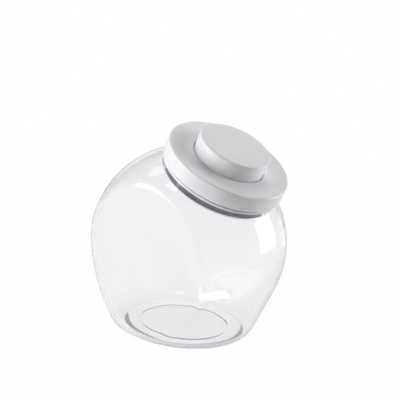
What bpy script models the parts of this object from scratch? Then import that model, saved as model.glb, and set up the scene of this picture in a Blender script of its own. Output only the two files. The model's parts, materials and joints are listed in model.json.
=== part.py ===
"""A clear round jar with two flat sides, a tilted mouth and a white lid that seals with a push button.

Metres, +Z up. The origin is the middle of the object's footprint on the surface it stands on. The flat
sides face +X and -X, and the mouth leans towards -Y. The lid's pieces are modelled in the lid's own
frame: its origin is the middle of the jar's rim, and its Z axis is the mouth's axis.
"""

import math

import bmesh
import bpy
import numpy as np
from mathutils import Matrix, Vector

# Jar: a ball with two flat sides, drawn out at the bottom to an oval foot.
BODY_RADIUS = 0.0966
SIDE_FLAT = 0.0646
SIDE_BLEND = 0.0037
JAR_WALL = 0.0028
FOOT_DROP = 0.0896
FOOT_HALF_WIDTH = 0.0502
FOOT_HALF_DEPTH = 0.0656
FOOT_SHIFT = 0.0116
FOOT_ROUNDING = 0.0105
FOOT_RING_SHIFT = -0.0044
FOOT_STAND = 0.0009
FOOT_BAND = 0.0148
FOOT_RECESS = 0.0016
FOOT_RECESS_EDGE = 0.0014
JAR_FLOOR = 0.0036
FLOOR_ROUNDING = 0.0085

# Mouth and neck.
MOUTH_TILT = math.radians(29.2)
NECK_RADIUS = 0.0565
NECK_STAND = 0.0054
NECK_WALL = 0.0024

# Gaps between pieces that touch, slide and turn.
SEAT_GAP = 0.0003
BUTTON_GAP = 0.0006
BORE_GAP = 0.0007
NOTCH_GAP = 0.0006
POST_GAP = 0.0009

# Lid: the frame's lip rests on the rim, and the cap stands on the lip.
LIP_RADIUS = 0.0575
LIP_HEIGHT = 0.0035
CAP_RADIUS = 0.0590
CAP_HEIGHT = 0.0154
CAP_WALL = 0.0022
CAP_ROUNDING = 0.0015
CAP_DISH = 0.0011
COLLAR_DEPTH = 0.0060
HOLE_ROUNDING = 0.0008

# Button.
BUTTON_RADIUS = 0.0343
BUTTON_STAND = 0.0145
BUTTON_WALL = 0.0022
BUTTON_ROUNDING = 0.0014
SKIRT_OVERLAP = 0.0044

# Levers that turn the button's long stroke into the seal's short one.
LEVERS = 4
LEVER_INNER_ARM = 0.0240
LEVER_OUTER_ARM = 0.0036
LEVER_PIVOT_RADIUS = 0.0373
LEVER_PIVOT_HEIGHT = 0.0021
LEVER_WIDTH = 0.0044
LEVER_TIP_RADIUS = 0.0013
LEVER_HUB_RADIUS = 0.0020
LEVER_NOSE_RADIUS = 0.0011
PIN_RADIUS = 0.0008
EAR_THICKNESS = 0.0018
EAR_HALF_WIDTH = 0.0022

# Frame inside the lid.
FRAME_WALL_RADIUS = 0.0444
FRAME_WALL = 0.0020
FRAME_FLOOR = 0.0015
FRAME_CHAMFER = 0.0018
FRAME_CHAMFER_HEIGHT = 0.00252
POST_RADIUS = 0.0062
POST_WALL = 0.0016

# Core that hangs from the button.
CORE_BORE = 0.0086
CORE_WALL = 0.0024
CORE_FLANGE_RADIUS = 0.0147
CORE_FLANGE = 0.0012
CORE_HEAD = 0.0230
CORE_CEILING = 0.0012

# Seal plate and gasket.
SEAL_FLANGE_RADIUS = 0.0526
SEAL_FLANGE = 0.0017
SEAL_WALL = 0.0016
GASKET_HEIGHT = 0.0070
GASKET_ROUNDING = 0.0011
LUG_THICKNESS = 0.0022
LUG_WIDTH = 0.0090
LUG_TOP = 0.0012

# Spring.
SPRING_RADIUS = 0.0074
SPRING_WIRE = 0.00045
SPRING_TURNS = 8

# Heart-shaped track and the wire that follows it.
LATCH_AZIMUTH = math.radians(45)
TRACK_FACE = 0.0213
TRACK_PLATE = 0.0025
TRACK_WIDTH = 0.0120
TRACK_DEPTH = 0.0013
TRACK_SHIFT = 0.0024
TRACK_TURN_DROP = 0.00435
RIB_WIDTH = 0.0040
WIRE_RADIUS = 0.0006
WIRE_PLAY = 0.00035
WIRE_STAND = 0.0020
BRACKET_LENGTH = 0.0024
BRACKET_WIDTH = 0.0052

# Screws.
CAP_SCREWS = 4
CAP_SCREW_RADIUS = 0.0383
CAP_SCREW_SHANK = 0.0012
CAP_SCREW_HEAD = 0.0022
CAP_POST_RADIUS = 0.0036
CAP_BOSS_RADIUS = 0.0032
CAP_POST_TOP = 0.0050
CAP_POST_GRIP = 0.0050
CORE_SCREWS = 3
CORE_SCREW_RADIUS = 0.0165
CORE_SCREW_SHANK = 0.0010
CORE_SCREW_HEAD = 0.0020
CORE_BOSS_RADIUS = 0.0030
SCREW_HEAD_HEIGHT = 0.0013
SCREW_HEAD_ROUNDING = 0.00062
SCREW_TIP_ROUNDING = 0.0006
SCREW_GRIP = 0.0070

# How finely round shapes are divided.
BODY_SIDES = 60
BODY_RINGS = 15
LID_SIDES = 56
SMALL_SIDES = 14
SCREW_SIDES = 10
ROUNDING_STEPS = 4
TURN_STEPS = 10
HALVINGS = 40
MERGE_DISTANCE = 2e-6
SHARP_ANGLE = math.radians(30)

# Worked out from the sizes above, in the jar's frame.
RIM_REACH = math.sqrt(BODY_RADIUS**2 - NECK_RADIUS**2) + NECK_STAND
NECK_BORE = NECK_RADIUS - NECK_WALL
MOUTH_AXIS = Vector((0.0, -math.sin(MOUTH_TILT), math.cos(MOUTH_TILT)))

# Worked out in the lid's frame, where the rim is at height zero.
PRESS_TRAVEL = BUTTON_STAND
LEVER_SWING = math.asin(PRESS_TRAVEL / 2 / LEVER_INNER_ARM)
SEAL_TRAVEL = 2 * LEVER_OUTER_ARM * math.sin(LEVER_SWING)
LIP_BOTTOM = SEAT_GAP
LIP_TOP = LIP_BOTTOM + LIP_HEIGHT
CAP_BOTTOM = LIP_TOP + SEAT_GAP
CAP_TOP = CAP_BOTTOM + CAP_HEIGHT
DISH_HEIGHT = CAP_TOP - CAP_DISH
HOLE_RADIUS = BUTTON_RADIUS + BUTTON_GAP
COLLAR_BOTTOM = DISH_HEIGHT - COLLAR_DEPTH
BUTTON_TOP = CAP_TOP + BUTTON_STAND
BUTTON_CEILING = BUTTON_TOP - BUTTON_WALL
SKIRT_BOTTOM = DISH_HEIGHT - SKIRT_OVERLAP
TIP_HEIGHT = LEVER_PIVOT_HEIGHT + PRESS_TRAVEL / 2
LOWER_FLANGE_TOP = TIP_HEIGHT - LEVER_TIP_RADIUS - SEAT_GAP
LOWER_FLANGE_BOTTOM = LOWER_FLANGE_TOP - CORE_FLANGE
UPPER_FLANGE_BOTTOM = TIP_HEIGHT + LEVER_TIP_RADIUS + SEAT_GAP
UPPER_FLANGE_TOP = UPPER_FLANGE_BOTTOM + CORE_FLANGE
CORE_RADIUS = CORE_BORE + CORE_WALL
FLOOR_TOP = LOWER_FLANGE_BOTTOM - PRESS_TRAVEL - SEAT_GAP
FLOOR_BOTTOM = FLOOR_TOP - FRAME_FLOOR
FRAME_INNER_RADIUS = FRAME_WALL_RADIUS - FRAME_WALL
POST_TOP = CORE_HEAD - CORE_CEILING - PRESS_TRAVEL - POST_GAP
GASKET_TOP = LIP_BOTTOM - SEAT_GAP
GASKET_BOTTOM = GASKET_TOP - GASKET_HEIGHT
GASKET_RADIUS = NECK_BORE - BORE_GAP
SEAL_TOP = GASKET_BOTTOM - SEAT_GAP
SEAL_INNER_RADIUS = FRAME_WALL_RADIUS + SEAT_GAP
SEAL_FLOOR_TOP = FLOOR_BOTTOM - SEAL_TRAVEL - SEAT_GAP
SEAL_FLOOR_BOTTOM = SEAL_FLOOR_TOP - SEAL_WALL
LUG_INNER = LEVER_PIVOT_RADIUS + EAR_HALF_WIDTH + SEAT_GAP
LUG_OUTER = LUG_INNER + LUG_THICKNESS
CENTRE_Y = (
    (RIM_REACH + CAP_TOP - CAP_ROUNDING) * math.sin(MOUTH_TILT)
    + (CAP_RADIUS - CAP_ROUNDING) * math.cos(MOUTH_TILT)
    + CAP_ROUNDING
    - BODY_RADIUS
) / 2
JAR_CENTRE = Vector((0.0, CENTRE_Y, FOOT_DROP))


# Meshes as shapes without an object.

def mesh_from(points, faces):
    """A bmesh from points and faces, with its faces turned outwards."""
    shape = bmesh.new()
    verts = [shape.verts.new(point) for point in points]
    for face in faces:
        shape.faces.new([verts[index] for index in face])
    bmesh.ops.recalc_face_normals(shape, faces=shape.faces)
    return shape


def stacked_rings(rings, bottom=None, top=None):
    """Closed skin over rings of equal length, ended by a point each, or joined last to first."""
    count = len(rings[0])
    points = [tuple(point) for ring in rings for point in ring]
    faces = []
    closed = bottom is None
    layers = len(rings) if closed else len(rings) - 1
    for layer in range(layers):
        low = layer * count
        high = (layer + 1) % len(rings) * count
        for side in range(count):
            after = (side + 1) % count
            faces.append((low + side, low + after, high + after, high + side))
    if not closed:
        last = (len(rings) - 1) * count
        points += [tuple(bottom), tuple(top)]
        for side in range(count):
            after = (side + 1) % count
            faces.append((after, side, len(points) - 2))
            faces.append((last + side, last + after, len(points) - 1))
    return mesh_from(points, faces)


def turned(profile, sides):
    """A profile of (radius, height) points turned about Z. It is a loop, or starts and ends on the axis."""
    angles = np.linspace(0, 2 * math.pi, sides, endpoint=False)
    on_axis = profile[0][0] == 0
    rings = []
    for radius, height in profile[1:-1] if on_axis else profile:
        rings.append(np.stack([radius * np.cos(angles), radius * np.sin(angles),
                               np.full(sides, height)], axis=1))
    if on_axis:
        return stacked_rings(rings, (0, 0, profile[0][1]), (0, 0, profile[-1][1]))
    return stacked_rings(rings)


def rod(radius, bottom, top, at=(0, 0), sides=SMALL_SIDES):
    """A round bar along Z."""
    shape = turned([(0, bottom), (radius, bottom), (radius, top), (0, top)], sides)
    bmesh.ops.translate(shape, vec=(at[0], at[1], 0), verts=shape.verts)
    return shape


def block(low, high):
    """A box from its low corner to its high corner."""
    shape = bmesh.new()
    size = Vector(high) - Vector(low)
    middle = (Vector(high) + Vector(low)) / 2
    bmesh.ops.create_cube(shape, size=1.0, matrix=Matrix.Translation(middle) @ Matrix.Diagonal((*size, 1)))
    return shape


def wrapped(discs, width):
    """The bar that wraps round discs in the XZ plane, each (x, z, radius), and is width wide along Y."""
    shape = bmesh.new()
    for x, z, radius in discs:
        for step in range(SMALL_SIDES):
            angle = 2 * math.pi * step / SMALL_SIDES
            for y in (-width / 2, width / 2):
                shape.verts.new((x + radius * math.cos(angle), y, z + radius * math.sin(angle)))
    hull = bmesh.ops.convex_hull(shape, input=shape.verts)
    inside = [item for item in hull["geom_interior"] if isinstance(item, bmesh.types.BMVert)]
    bmesh.ops.delete(shape, geom=inside, context="VERTS")
    bmesh.ops.recalc_face_normals(shape, faces=shape.faces)
    return shape


def moved(shape, matrix):
    """The same shape after a matrix."""
    bmesh.ops.transform(shape, matrix=matrix, verts=shape.verts)
    return shape


def around(angle):
    """The turn about Z by an angle."""
    return Matrix.Rotation(angle, 4, "Z")


def lying_along_y(shape):
    """A shape that stood along Z, laid along Y."""
    return moved(shape, Matrix.Rotation(math.pi / 2, 4, "X"))


def lying_along_x(shape):
    """A shape that stood along Z, laid along X."""
    return moved(shape, Matrix.Rotation(math.pi / 2, 4, "Y"))


def together(shapes):
    """Shapes that lie apart, in one mesh."""
    whole = bmesh.new()
    for shape in shapes:
        mesh = bpy.data.meshes.new("together")
        shape.to_mesh(mesh)
        whole.from_mesh(mesh)
        bpy.data.meshes.remove(mesh)
    return whole


def combined(shape, other, operation):
    """The exact Boolean of two shapes."""
    objects = []
    for item in (shape, other):
        mesh = bpy.data.meshes.new("operand")
        item.to_mesh(mesh)
        operand = bpy.data.objects.new("operand", mesh)
        bpy.context.scene.collection.objects.link(operand)
        objects.append(operand)
    modifier = objects[0].modifiers.new("combine", "BOOLEAN")
    modifier.operation = operation
    modifier.solver = "EXACT"
    modifier.object = objects[1]
    graph = bpy.context.evaluated_depsgraph_get()
    result = bmesh.new()
    result.from_mesh(objects[0].evaluated_get(graph).to_mesh())
    for operand in objects:
        mesh = operand.data
        bpy.data.objects.remove(operand)
        bpy.data.meshes.remove(mesh)
    bmesh.ops.remove_doubles(result, verts=result.verts, dist=MERGE_DISTANCE)
    return result


def joined(shape, other):
    """Both shapes as one body."""
    return combined(shape, other, "UNION")


def cut(shape, other):
    """The first shape without the second."""
    return combined(shape, other, "DIFFERENCE")


def arc(centre, radius, start, end, steps):
    """Points of (radius, height) along an arc between two angles in degrees."""
    points = []
    for step in range(steps + 1):
        angle = math.radians(start + (end - start) * step / steps)
        points.append((centre[0] + radius * math.cos(angle), centre[1] + radius * math.sin(angle)))
    return points


# Objects.

def finish(name, colour, roughness, metallic=0.0, alpha=1.0):
    """A plain material."""
    material = bpy.data.materials.new(name)
    material.use_nodes = True
    shader = material.node_tree.nodes["Principled BSDF"]
    shader.inputs["Base Color"].default_value = (*colour, 1.0)
    shader.inputs["Roughness"].default_value = roughness
    shader.inputs["Metallic"].default_value = metallic
    shader.inputs["Alpha"].default_value = alpha
    return material


def mesh_of(name, shape, material):
    """A smooth-shaded mesh from a shape."""
    mesh = bpy.data.meshes.new(name)
    shape.to_mesh(mesh)
    shape.free()
    mesh.shade_smooth()
    mesh.set_sharp_from_angle(angle=SHARP_ANGLE)
    mesh.materials.append(material)
    return mesh


def add(name, data, parent=None, matrix=None):
    """An object for one sub-part."""
    piece = bpy.data.objects.new(name, data)
    bpy.context.scene.collection.objects.link(piece)
    piece.parent = parent
    if matrix is not None:
        piece.matrix_basis = matrix
    return piece


# The jar.

def outline_reach(height, foot):
    """Half-width of a ball at a height, with a straight tangent down to the foot's edge below it."""
    reach = math.hypot(foot, FOOT_DROP)
    angle = math.acos(min(BODY_RADIUS / reach, 1.0)) - math.atan2(FOOT_DROP, foot)
    tangent_height = BODY_RADIUS * math.sin(angle)
    tangent_width = BODY_RADIUS * math.cos(angle)
    slope = (foot - tangent_width) / (-FOOT_DROP - tangent_height)
    ball = math.sqrt(max(BODY_RADIUS**2 - height**2, 0.0))
    if height > tangent_height:
        return ball, angle
    return tangent_width + slope * (height - tangent_height), angle


def section(height):
    """The ellipse that the wall without its flat sides makes at a height, and how upright it stands there."""
    foot = FOOT_HALF_DEPTH + FOOT_ROUNDING
    back, back_angle = outline_reach(height, foot + FOOT_SHIFT)
    front, front_angle = outline_reach(height, foot - FOOT_SHIFT)
    side, _ = outline_reach(height, FOOT_HALF_WIDTH + FOOT_ROUNDING)
    latitude = math.asin(max(-1.0, min(1.0, height / BODY_RADIUS)))
    upright = math.cos(max(latitude, (back_angle + front_angle) / 2))
    on_ball = latitude > max(back_angle, front_angle)
    return side, (back + front) / 2, (back - front) / 2, upright, on_ball


def depth_below_skin(x, y, height):
    """Distance from the jar's outer skin, positive inside: ball or drawn-out part, blended with the flats."""
    side, depth, shift, upright, on_ball = section(height)
    if on_ball:
        round_part = BODY_RADIUS - np.sqrt(x**2 + y**2 + height**2)
    else:
        share = np.sqrt((x / side) ** 2 + ((y - shift) / depth) ** 2)
        reach = np.hypot(x, y - shift) / np.maximum(share, 1e-9)
        round_part = (1 - share) * reach * upright
    flat_part = SIDE_FLAT - np.abs(x)
    overlap = np.maximum(SIDE_BLEND - np.abs(round_part - flat_part), 0) / SIDE_BLEND
    return np.minimum(round_part, flat_part) - overlap**2 * SIDE_BLEND / 4


def skin_ring(height, inset):
    """The ring of points at a height that lie an inset below the outer skin, found by halving."""
    angles = np.linspace(0, 2 * math.pi, BODY_SIDES, endpoint=False)
    shift = section(height)[2]
    low = np.zeros(BODY_SIDES)
    high = np.full(BODY_SIDES, 2 * BODY_RADIUS)
    for _ in range(HALVINGS):
        middle = (low + high) / 2
        depth = depth_below_skin(middle * np.cos(angles), shift + middle * np.sin(angles), height)
        low = np.where(depth > inset, middle, low)
        high = np.where(depth > inset, high, middle)
    return np.stack([low * np.cos(angles), shift + low * np.sin(angles), np.full(BODY_SIDES, height)], axis=1)


def jar_skin(inset, floor_height, rounding, stand=0.0):
    """The closed skin an inset below the outer one, with a rounded edge round a floor with a raised middle.
    The floor stands on a ring that is set forward in the rounding."""
    rings = []
    for step in range(ROUNDING_STEPS):
        angle = math.pi / 2 * step / ROUNDING_STEPS
        height = floor_height + stand + (rounding - stand) * (1 - math.cos(angle))
        ring = skin_ring(height, inset + rounding * (1 - math.sin(angle)))
        ring[:, 1] += FOOT_RING_SHIFT * (1 - math.sin(angle))
        rings.append(ring)
    start = math.asin((floor_height + rounding) / (BODY_RADIUS - inset))
    for step in range(BODY_RINGS):
        latitude = start + (math.pi / 2 - start) * step / BODY_RINGS
        rings.append(skin_ring((BODY_RADIUS - inset) * math.sin(latitude), inset))
    if stand > 0:
        rings.insert(0, rings[0] - np.array([0.0, 0.0, stand]))
    middle = np.array([0.0, FOOT_SHIFT + FOOT_RING_SHIFT, floor_height])
    edge = rings[0] - middle
    band_share = 1 - FOOT_BAND / FOOT_HALF_DEPTH
    edge_share = FOOT_RECESS_EDGE / FOOT_HALF_DEPTH
    for share, rise in ((band_share, 0.0), (band_share - edge_share, FOOT_RECESS)):
        rings.insert(0, middle + edge * share + np.array([0.0, 0.0, rise]))
    return stacked_rings(rings, middle + np.array([0, 0, FOOT_RECESS]), (0, 0, BODY_RADIUS - inset))


def jar_body(material):
    """The clear jar: outer skin and neck, less inner skin and bore."""
    tilt = Matrix.Rotation(MOUTH_TILT, 4, "X") @ Matrix.Translation((0, 0, RIM_REACH))
    crown = BODY_RADIUS - RIM_REACH + NECK_STAND
    neck_root = NECK_STAND + crown / 2
    neck = moved(rod(NECK_RADIUS, -neck_root, 0.0, sides=LID_SIDES), tilt)
    bore = moved(rod(NECK_BORE, -2 * neck_root, crown, sides=LID_SIDES), tilt)
    outer = joined(jar_skin(0.0, -FOOT_DROP, FOOT_ROUNDING, FOOT_STAND), neck)
    inner = joined(jar_skin(JAR_WALL, -FOOT_DROP + JAR_FLOOR, FLOOR_ROUNDING), bore)
    jar = add("jar_body", mesh_of("jar_body", cut(outer, inner), material))
    jar.location = JAR_CENTRE


# The lid's fixed pieces.

def lid_cap(lid, material):
    """The white cap: a band, a dished top, a collar round the button's hole and bosses for its screws."""
    edge = CAP_RADIUS - CAP_ROUNDING
    profile = [(CAP_RADIUS, CAP_BOTTOM)]
    profile += arc((edge, CAP_TOP - CAP_ROUNDING), CAP_ROUNDING, 0, 90, 3)
    steps = 4
    hole_edge = HOLE_RADIUS + HOLE_ROUNDING
    for step in range(1, steps):
        share = step / steps
        profile.append((edge + (hole_edge - edge) * share,
                        CAP_TOP - CAP_DISH * math.sin(share * math.pi / 2)))
    profile += arc((hole_edge, DISH_HEIGHT - HOLE_ROUNDING), HOLE_ROUNDING, 90, 180, 2)
    profile += [
        (HOLE_RADIUS, COLLAR_BOTTOM),
        (HOLE_RADIUS + CAP_WALL, COLLAR_BOTTOM),
        (HOLE_RADIUS + CAP_WALL, DISH_HEIGHT - CAP_WALL),
        (CAP_RADIUS - CAP_WALL - CAP_ROUNDING, CAP_TOP - CAP_WALL - CAP_DISH / 2),
        (CAP_RADIUS - CAP_WALL, CAP_TOP - CAP_WALL - CAP_ROUNDING),
        (CAP_RADIUS - CAP_WALL, CAP_BOTTOM),
    ]
    shape = turned(profile, LID_SIDES)
    boss_bottom = CAP_POST_TOP + SEAT_GAP
    boss_top = DISH_HEIGHT - CAP_WALL / 2
    bosses = []
    bores = []
    for angle in cap_screw_angles():
        at = (CAP_SCREW_RADIUS * math.cos(angle), CAP_SCREW_RADIUS * math.sin(angle))
        bosses.append(rod(CAP_BOSS_RADIUS, boss_bottom, boss_top, at))
        bores.append(rod(CAP_SCREW_SHANK + SEAT_GAP, boss_bottom - SEAT_GAP,
                         boss_bottom + SCREW_GRIP + SEAT_GAP, at))
    shape = cut(joined(shape, together(bosses)), together(bores))
    add("lid_cap", mesh_of("lid_cap", shape, material), lid)


def lever_angles():
    """Directions of the levers round the lid's axis."""
    return [2 * math.pi * index / LEVERS for index in range(LEVERS)]


def cap_screw_angles():
    """Directions of the cap's screws, midway between the levers."""
    return [2 * math.pi * (index + 0.5) / CAP_SCREWS for index in range(CAP_SCREWS)]


def core_screw_angles():
    """Directions of the core's screws: midway between the levers, but not where the latch is."""
    return [LATCH_AZIMUTH + math.pi / 2 * (index + 1) for index in range(CORE_SCREWS)]


def latch_pivot_height():
    """Height of the wire's pivot above the rim."""
    return FLOOR_TOP + WIRE_STAND + WIRE_RADIUS + WIRE_PLAY


def lid_frame(lid, material):
    """The frame: lip, wall, floor and post in one, with ears for the levers and tubes for the screws."""
    profile = [
        (0, POST_TOP - POST_WALL),
        (POST_RADIUS - POST_WALL, POST_TOP - POST_WALL),
        (POST_RADIUS - POST_WALL, FLOOR_BOTTOM),
        (FRAME_WALL_RADIUS - FRAME_CHAMFER, FLOOR_BOTTOM),
        (FRAME_WALL_RADIUS, FLOOR_BOTTOM + FRAME_CHAMFER_HEIGHT),
        (FRAME_WALL_RADIUS, LIP_BOTTOM),
        (LIP_RADIUS, LIP_BOTTOM),
        (LIP_RADIUS, LIP_TOP),
        (FRAME_INNER_RADIUS, LIP_TOP),
        (FRAME_INNER_RADIUS, FLOOR_TOP),
        (POST_RADIUS, FLOOR_TOP),
        (POST_RADIUS, POST_TOP),
        (0, POST_TOP),
    ]
    shape = turned(profile, LID_SIDES)
    sink = FRAME_FLOOR / 2
    added = []
    removed = []
    ear_top = LEVER_PIVOT_HEIGHT + EAR_HALF_WIDTH
    ear_inner = LEVER_WIDTH / 2 + SEAT_GAP
    for angle in lever_angles():
        turn = around(angle)
        for side in (-1, 1):
            edges = sorted((side * ear_inner, side * (ear_inner + EAR_THICKNESS)))
            ear = block((LEVER_PIVOT_RADIUS - EAR_HALF_WIDTH, edges[0], FLOOR_TOP - sink),
                        (LEVER_PIVOT_RADIUS + EAR_HALF_WIDTH, edges[1], ear_top))
            added.append(moved(ear, turn))
        hole = lying_along_y(rod(PIN_RADIUS + SEAT_GAP, -LUG_WIDTH, LUG_WIDTH))
        place = Matrix.Translation((LEVER_PIVOT_RADIUS, 0, LEVER_PIVOT_HEIGHT))
        removed.append(moved(hole, turn @ place))
        window = block((LEVER_PIVOT_RADIUS + EAR_HALF_WIDTH, -LUG_WIDTH / 2 - SEAT_GAP, FLOOR_BOTTOM - sink),
                       (LUG_OUTER + SEAT_GAP, LUG_WIDTH / 2 + SEAT_GAP, FLOOR_TOP + sink))
        removed.append(moved(window, turn))
    for angle in cap_screw_angles():
        at = (CAP_SCREW_RADIUS * math.cos(angle), CAP_SCREW_RADIUS * math.sin(angle))
        added.append(rod(CAP_POST_RADIUS, FLOOR_TOP - sink, CAP_POST_TOP, at))
    shape = joined(shape, together(added))
    bracket_start = TRACK_FACE + 2 * WIRE_RADIUS + 2 * WIRE_PLAY + SEAT_GAP
    height = latch_pivot_height()
    bracket = block((bracket_start, -BRACKET_WIDTH / 2, FLOOR_TOP - sink),
                    (bracket_start + BRACKET_LENGTH, BRACKET_WIDTH / 2, height + BRACKET_WIDTH / 2))
    shape = joined(shape, moved(bracket, around(LATCH_AZIMUTH)))
    hole = lying_along_x(rod(WIRE_RADIUS + WIRE_PLAY, bracket_start - BRACKET_LENGTH,
                             bracket_start + 2 * BRACKET_LENGTH))
    removed.append(moved(hole, around(LATCH_AZIMUTH) @ Matrix.Translation((0, 0, height))))
    shape = cut(shape, together(removed))
    seat = CAP_POST_TOP - CAP_POST_GRIP
    bores = []
    for angle in cap_screw_angles():
        at = (CAP_SCREW_RADIUS * math.cos(angle), CAP_SCREW_RADIUS * math.sin(angle))
        screw_way = turned([
            (0, FLOOR_BOTTOM - sink),
            (CAP_SCREW_HEAD + SEAT_GAP, FLOOR_BOTTOM - sink),
            (CAP_SCREW_HEAD + SEAT_GAP, seat),
            (CAP_SCREW_SHANK + SEAT_GAP, seat),
            (CAP_SCREW_SHANK + SEAT_GAP, CAP_POST_TOP + sink),
            (0, CAP_POST_TOP + sink),
        ], SMALL_SIDES)
        bores.append(moved(screw_way, Matrix.Translation((at[0], at[1], 0))))
    shape = cut(shape, together(bores))
    add("lid_frame", mesh_of("lid_frame", shape, material), lid)


def gasket(lid, material):
    """The grey ring between the frame's lip and the seal plate, rounded where it meets the bore."""
    inner = FRAME_WALL_RADIUS + SEAT_GAP
    outer = GASKET_RADIUS - GASKET_ROUNDING
    profile = [(inner, GASKET_BOTTOM)]
    profile += arc((outer, GASKET_BOTTOM + GASKET_ROUNDING), GASKET_ROUNDING, -90, 0, 2)
    profile += arc((outer, GASKET_TOP - GASKET_ROUNDING), GASKET_ROUNDING, 0, 90, 2)
    profile.append((inner, GASKET_TOP))
    add("gasket", mesh_of("gasket", turned(profile, LID_SIDES), material), lid)


def spring(lid, material):
    """The compression spring round the post, as one tube, with its least gap to itself printed."""
    curve = bpy.data.curves.new("spring", "CURVE")
    curve.dimensions = "3D"
    curve.bevel_depth = SPRING_WIRE
    curve.bevel_resolution = 1
    curve.use_fill_caps = True
    bottom = FLOOR_TOP + SEAT_GAP + SPRING_WIRE
    top = CORE_HEAD - CORE_CEILING - SEAT_GAP - SPRING_WIRE
    count = SPRING_TURNS * TURN_STEPS + 1
    path = []
    for index in range(count):
        share = index / (count - 1)
        angle = 2 * math.pi * SPRING_TURNS * share
        path.append(Vector((SPRING_RADIUS * math.cos(angle), SPRING_RADIUS * math.sin(angle),
                            bottom + (top - bottom) * share)))
    spline = curve.splines.new("POLY")
    spline.points.add(count - 1)
    for point, place in zip(spline.points, path):
        point.co = (*place, 1.0)
    least = min((path[index + TURN_STEPS] - path[index]).length for index in range(count - TURN_STEPS))
    print(f"spring: least gap between turns {(least - 2 * SPRING_WIRE) * 1000:.2f} mm")
    curve.materials.append(material)
    add("spring", curve, lid)


def screw_mesh(name, shank, head, material):
    """A pan-head screw that points up, its head's bearing face at height zero."""
    profile = [
        (0, -SCREW_HEAD_HEIGHT),
        (head - SCREW_HEAD_ROUNDING, -SCREW_HEAD_HEIGHT),
        (head, -SCREW_HEAD_HEIGHT / 2),
        (head, 0),
        (shank, 0),
        (shank, SCREW_GRIP),
        (shank - SCREW_TIP_ROUNDING, SCREW_GRIP + shank),
        (0, SCREW_GRIP + shank),
    ]
    return mesh_of(name, turned(profile, SCREW_SIDES), material)


def cap_screws(lid, material):
    """The screws that hold the frame to the cap, up inside the frame's tubes."""
    mesh = screw_mesh("cap_screw", CAP_SCREW_SHANK, CAP_SCREW_HEAD, material)
    height = CAP_POST_TOP - CAP_POST_GRIP - SEAT_GAP
    for index, angle in enumerate(cap_screw_angles()):
        place = around(angle) @ Matrix.Translation((CAP_SCREW_RADIUS, 0, height))
        add(f"cap_screw_{index + 1}", mesh, lid, place)


# The lid's moving pieces.

def lever_top_at_skirt():
    """Highest point of a pressed lever where it passes under the button's skirt."""
    away = LEVER_PIVOT_RADIUS - BUTTON_RADIUS
    thickness = LEVER_HUB_RADIUS - (LEVER_HUB_RADIUS - LEVER_TIP_RADIUS) * away / LEVER_INNER_ARM
    return LEVER_PIVOT_HEIGHT - away * math.tan(LEVER_SWING) + thickness / math.cos(LEVER_SWING)


def button_cap(lid, material):
    """The button: a flat round top with a skirt, notched over the levers, and bosses for the core's screws."""
    edge = BUTTON_RADIUS - BUTTON_ROUNDING
    inner = BUTTON_RADIUS - BUTTON_WALL
    profile = [(0, BUTTON_CEILING), (inner, BUTTON_CEILING), (inner, SKIRT_BOTTOM), (BUTTON_RADIUS, SKIRT_BOTTOM)]
    profile += arc((edge, BUTTON_TOP - BUTTON_ROUNDING), BUTTON_ROUNDING, 0, 90, 3)
    profile += [(edge / 2, BUTTON_TOP), (0, BUTTON_TOP)]
    shape = turned(profile, LID_SIDES)
    notch_top = lever_top_at_skirt() + SEAT_GAP + PRESS_TRAVEL
    notch_half = LEVER_WIDTH / 2 + NOTCH_GAP
    notches = []
    for angle in lever_angles():
        notch = block((inner - CAP_WALL, -notch_half, SKIRT_BOTTOM - SEAT_GAP),
                      (BUTTON_RADIUS + SEAT_GAP, notch_half, notch_top))
        notches.append(moved(notch, around(angle)))
    if notch_top > SKIRT_BOTTOM:
        shape = cut(shape, together(notches))
    boss_bottom = UPPER_FLANGE_TOP + SEAT_GAP
    bosses = []
    bores = []
    for angle in core_screw_angles():
        at = (CORE_SCREW_RADIUS * math.cos(angle), CORE_SCREW_RADIUS * math.sin(angle))
        bosses.append(rod(CORE_BOSS_RADIUS, boss_bottom, BUTTON_CEILING + BUTTON_WALL / 2, at))
        bores.append(rod(CORE_SCREW_SHANK + SEAT_GAP, boss_bottom - SEAT_GAP,
                         UPPER_FLANGE_BOTTOM + SCREW_GRIP + 2 * CORE_SCREW_SHANK, at))
    shape = cut(joined(shape, together(bosses)), together(bores))
    add("button_cap", mesh_of("button_cap", shape, material), lid)


def wire_tip_height():
    """Height of the wire's tip, near the lower end of the track at rest."""
    return LOWER_FLANGE_BOTTOM + 4 * WIRE_RADIUS + 2 * WIRE_PLAY + TRACK_DEPTH / 2


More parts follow.
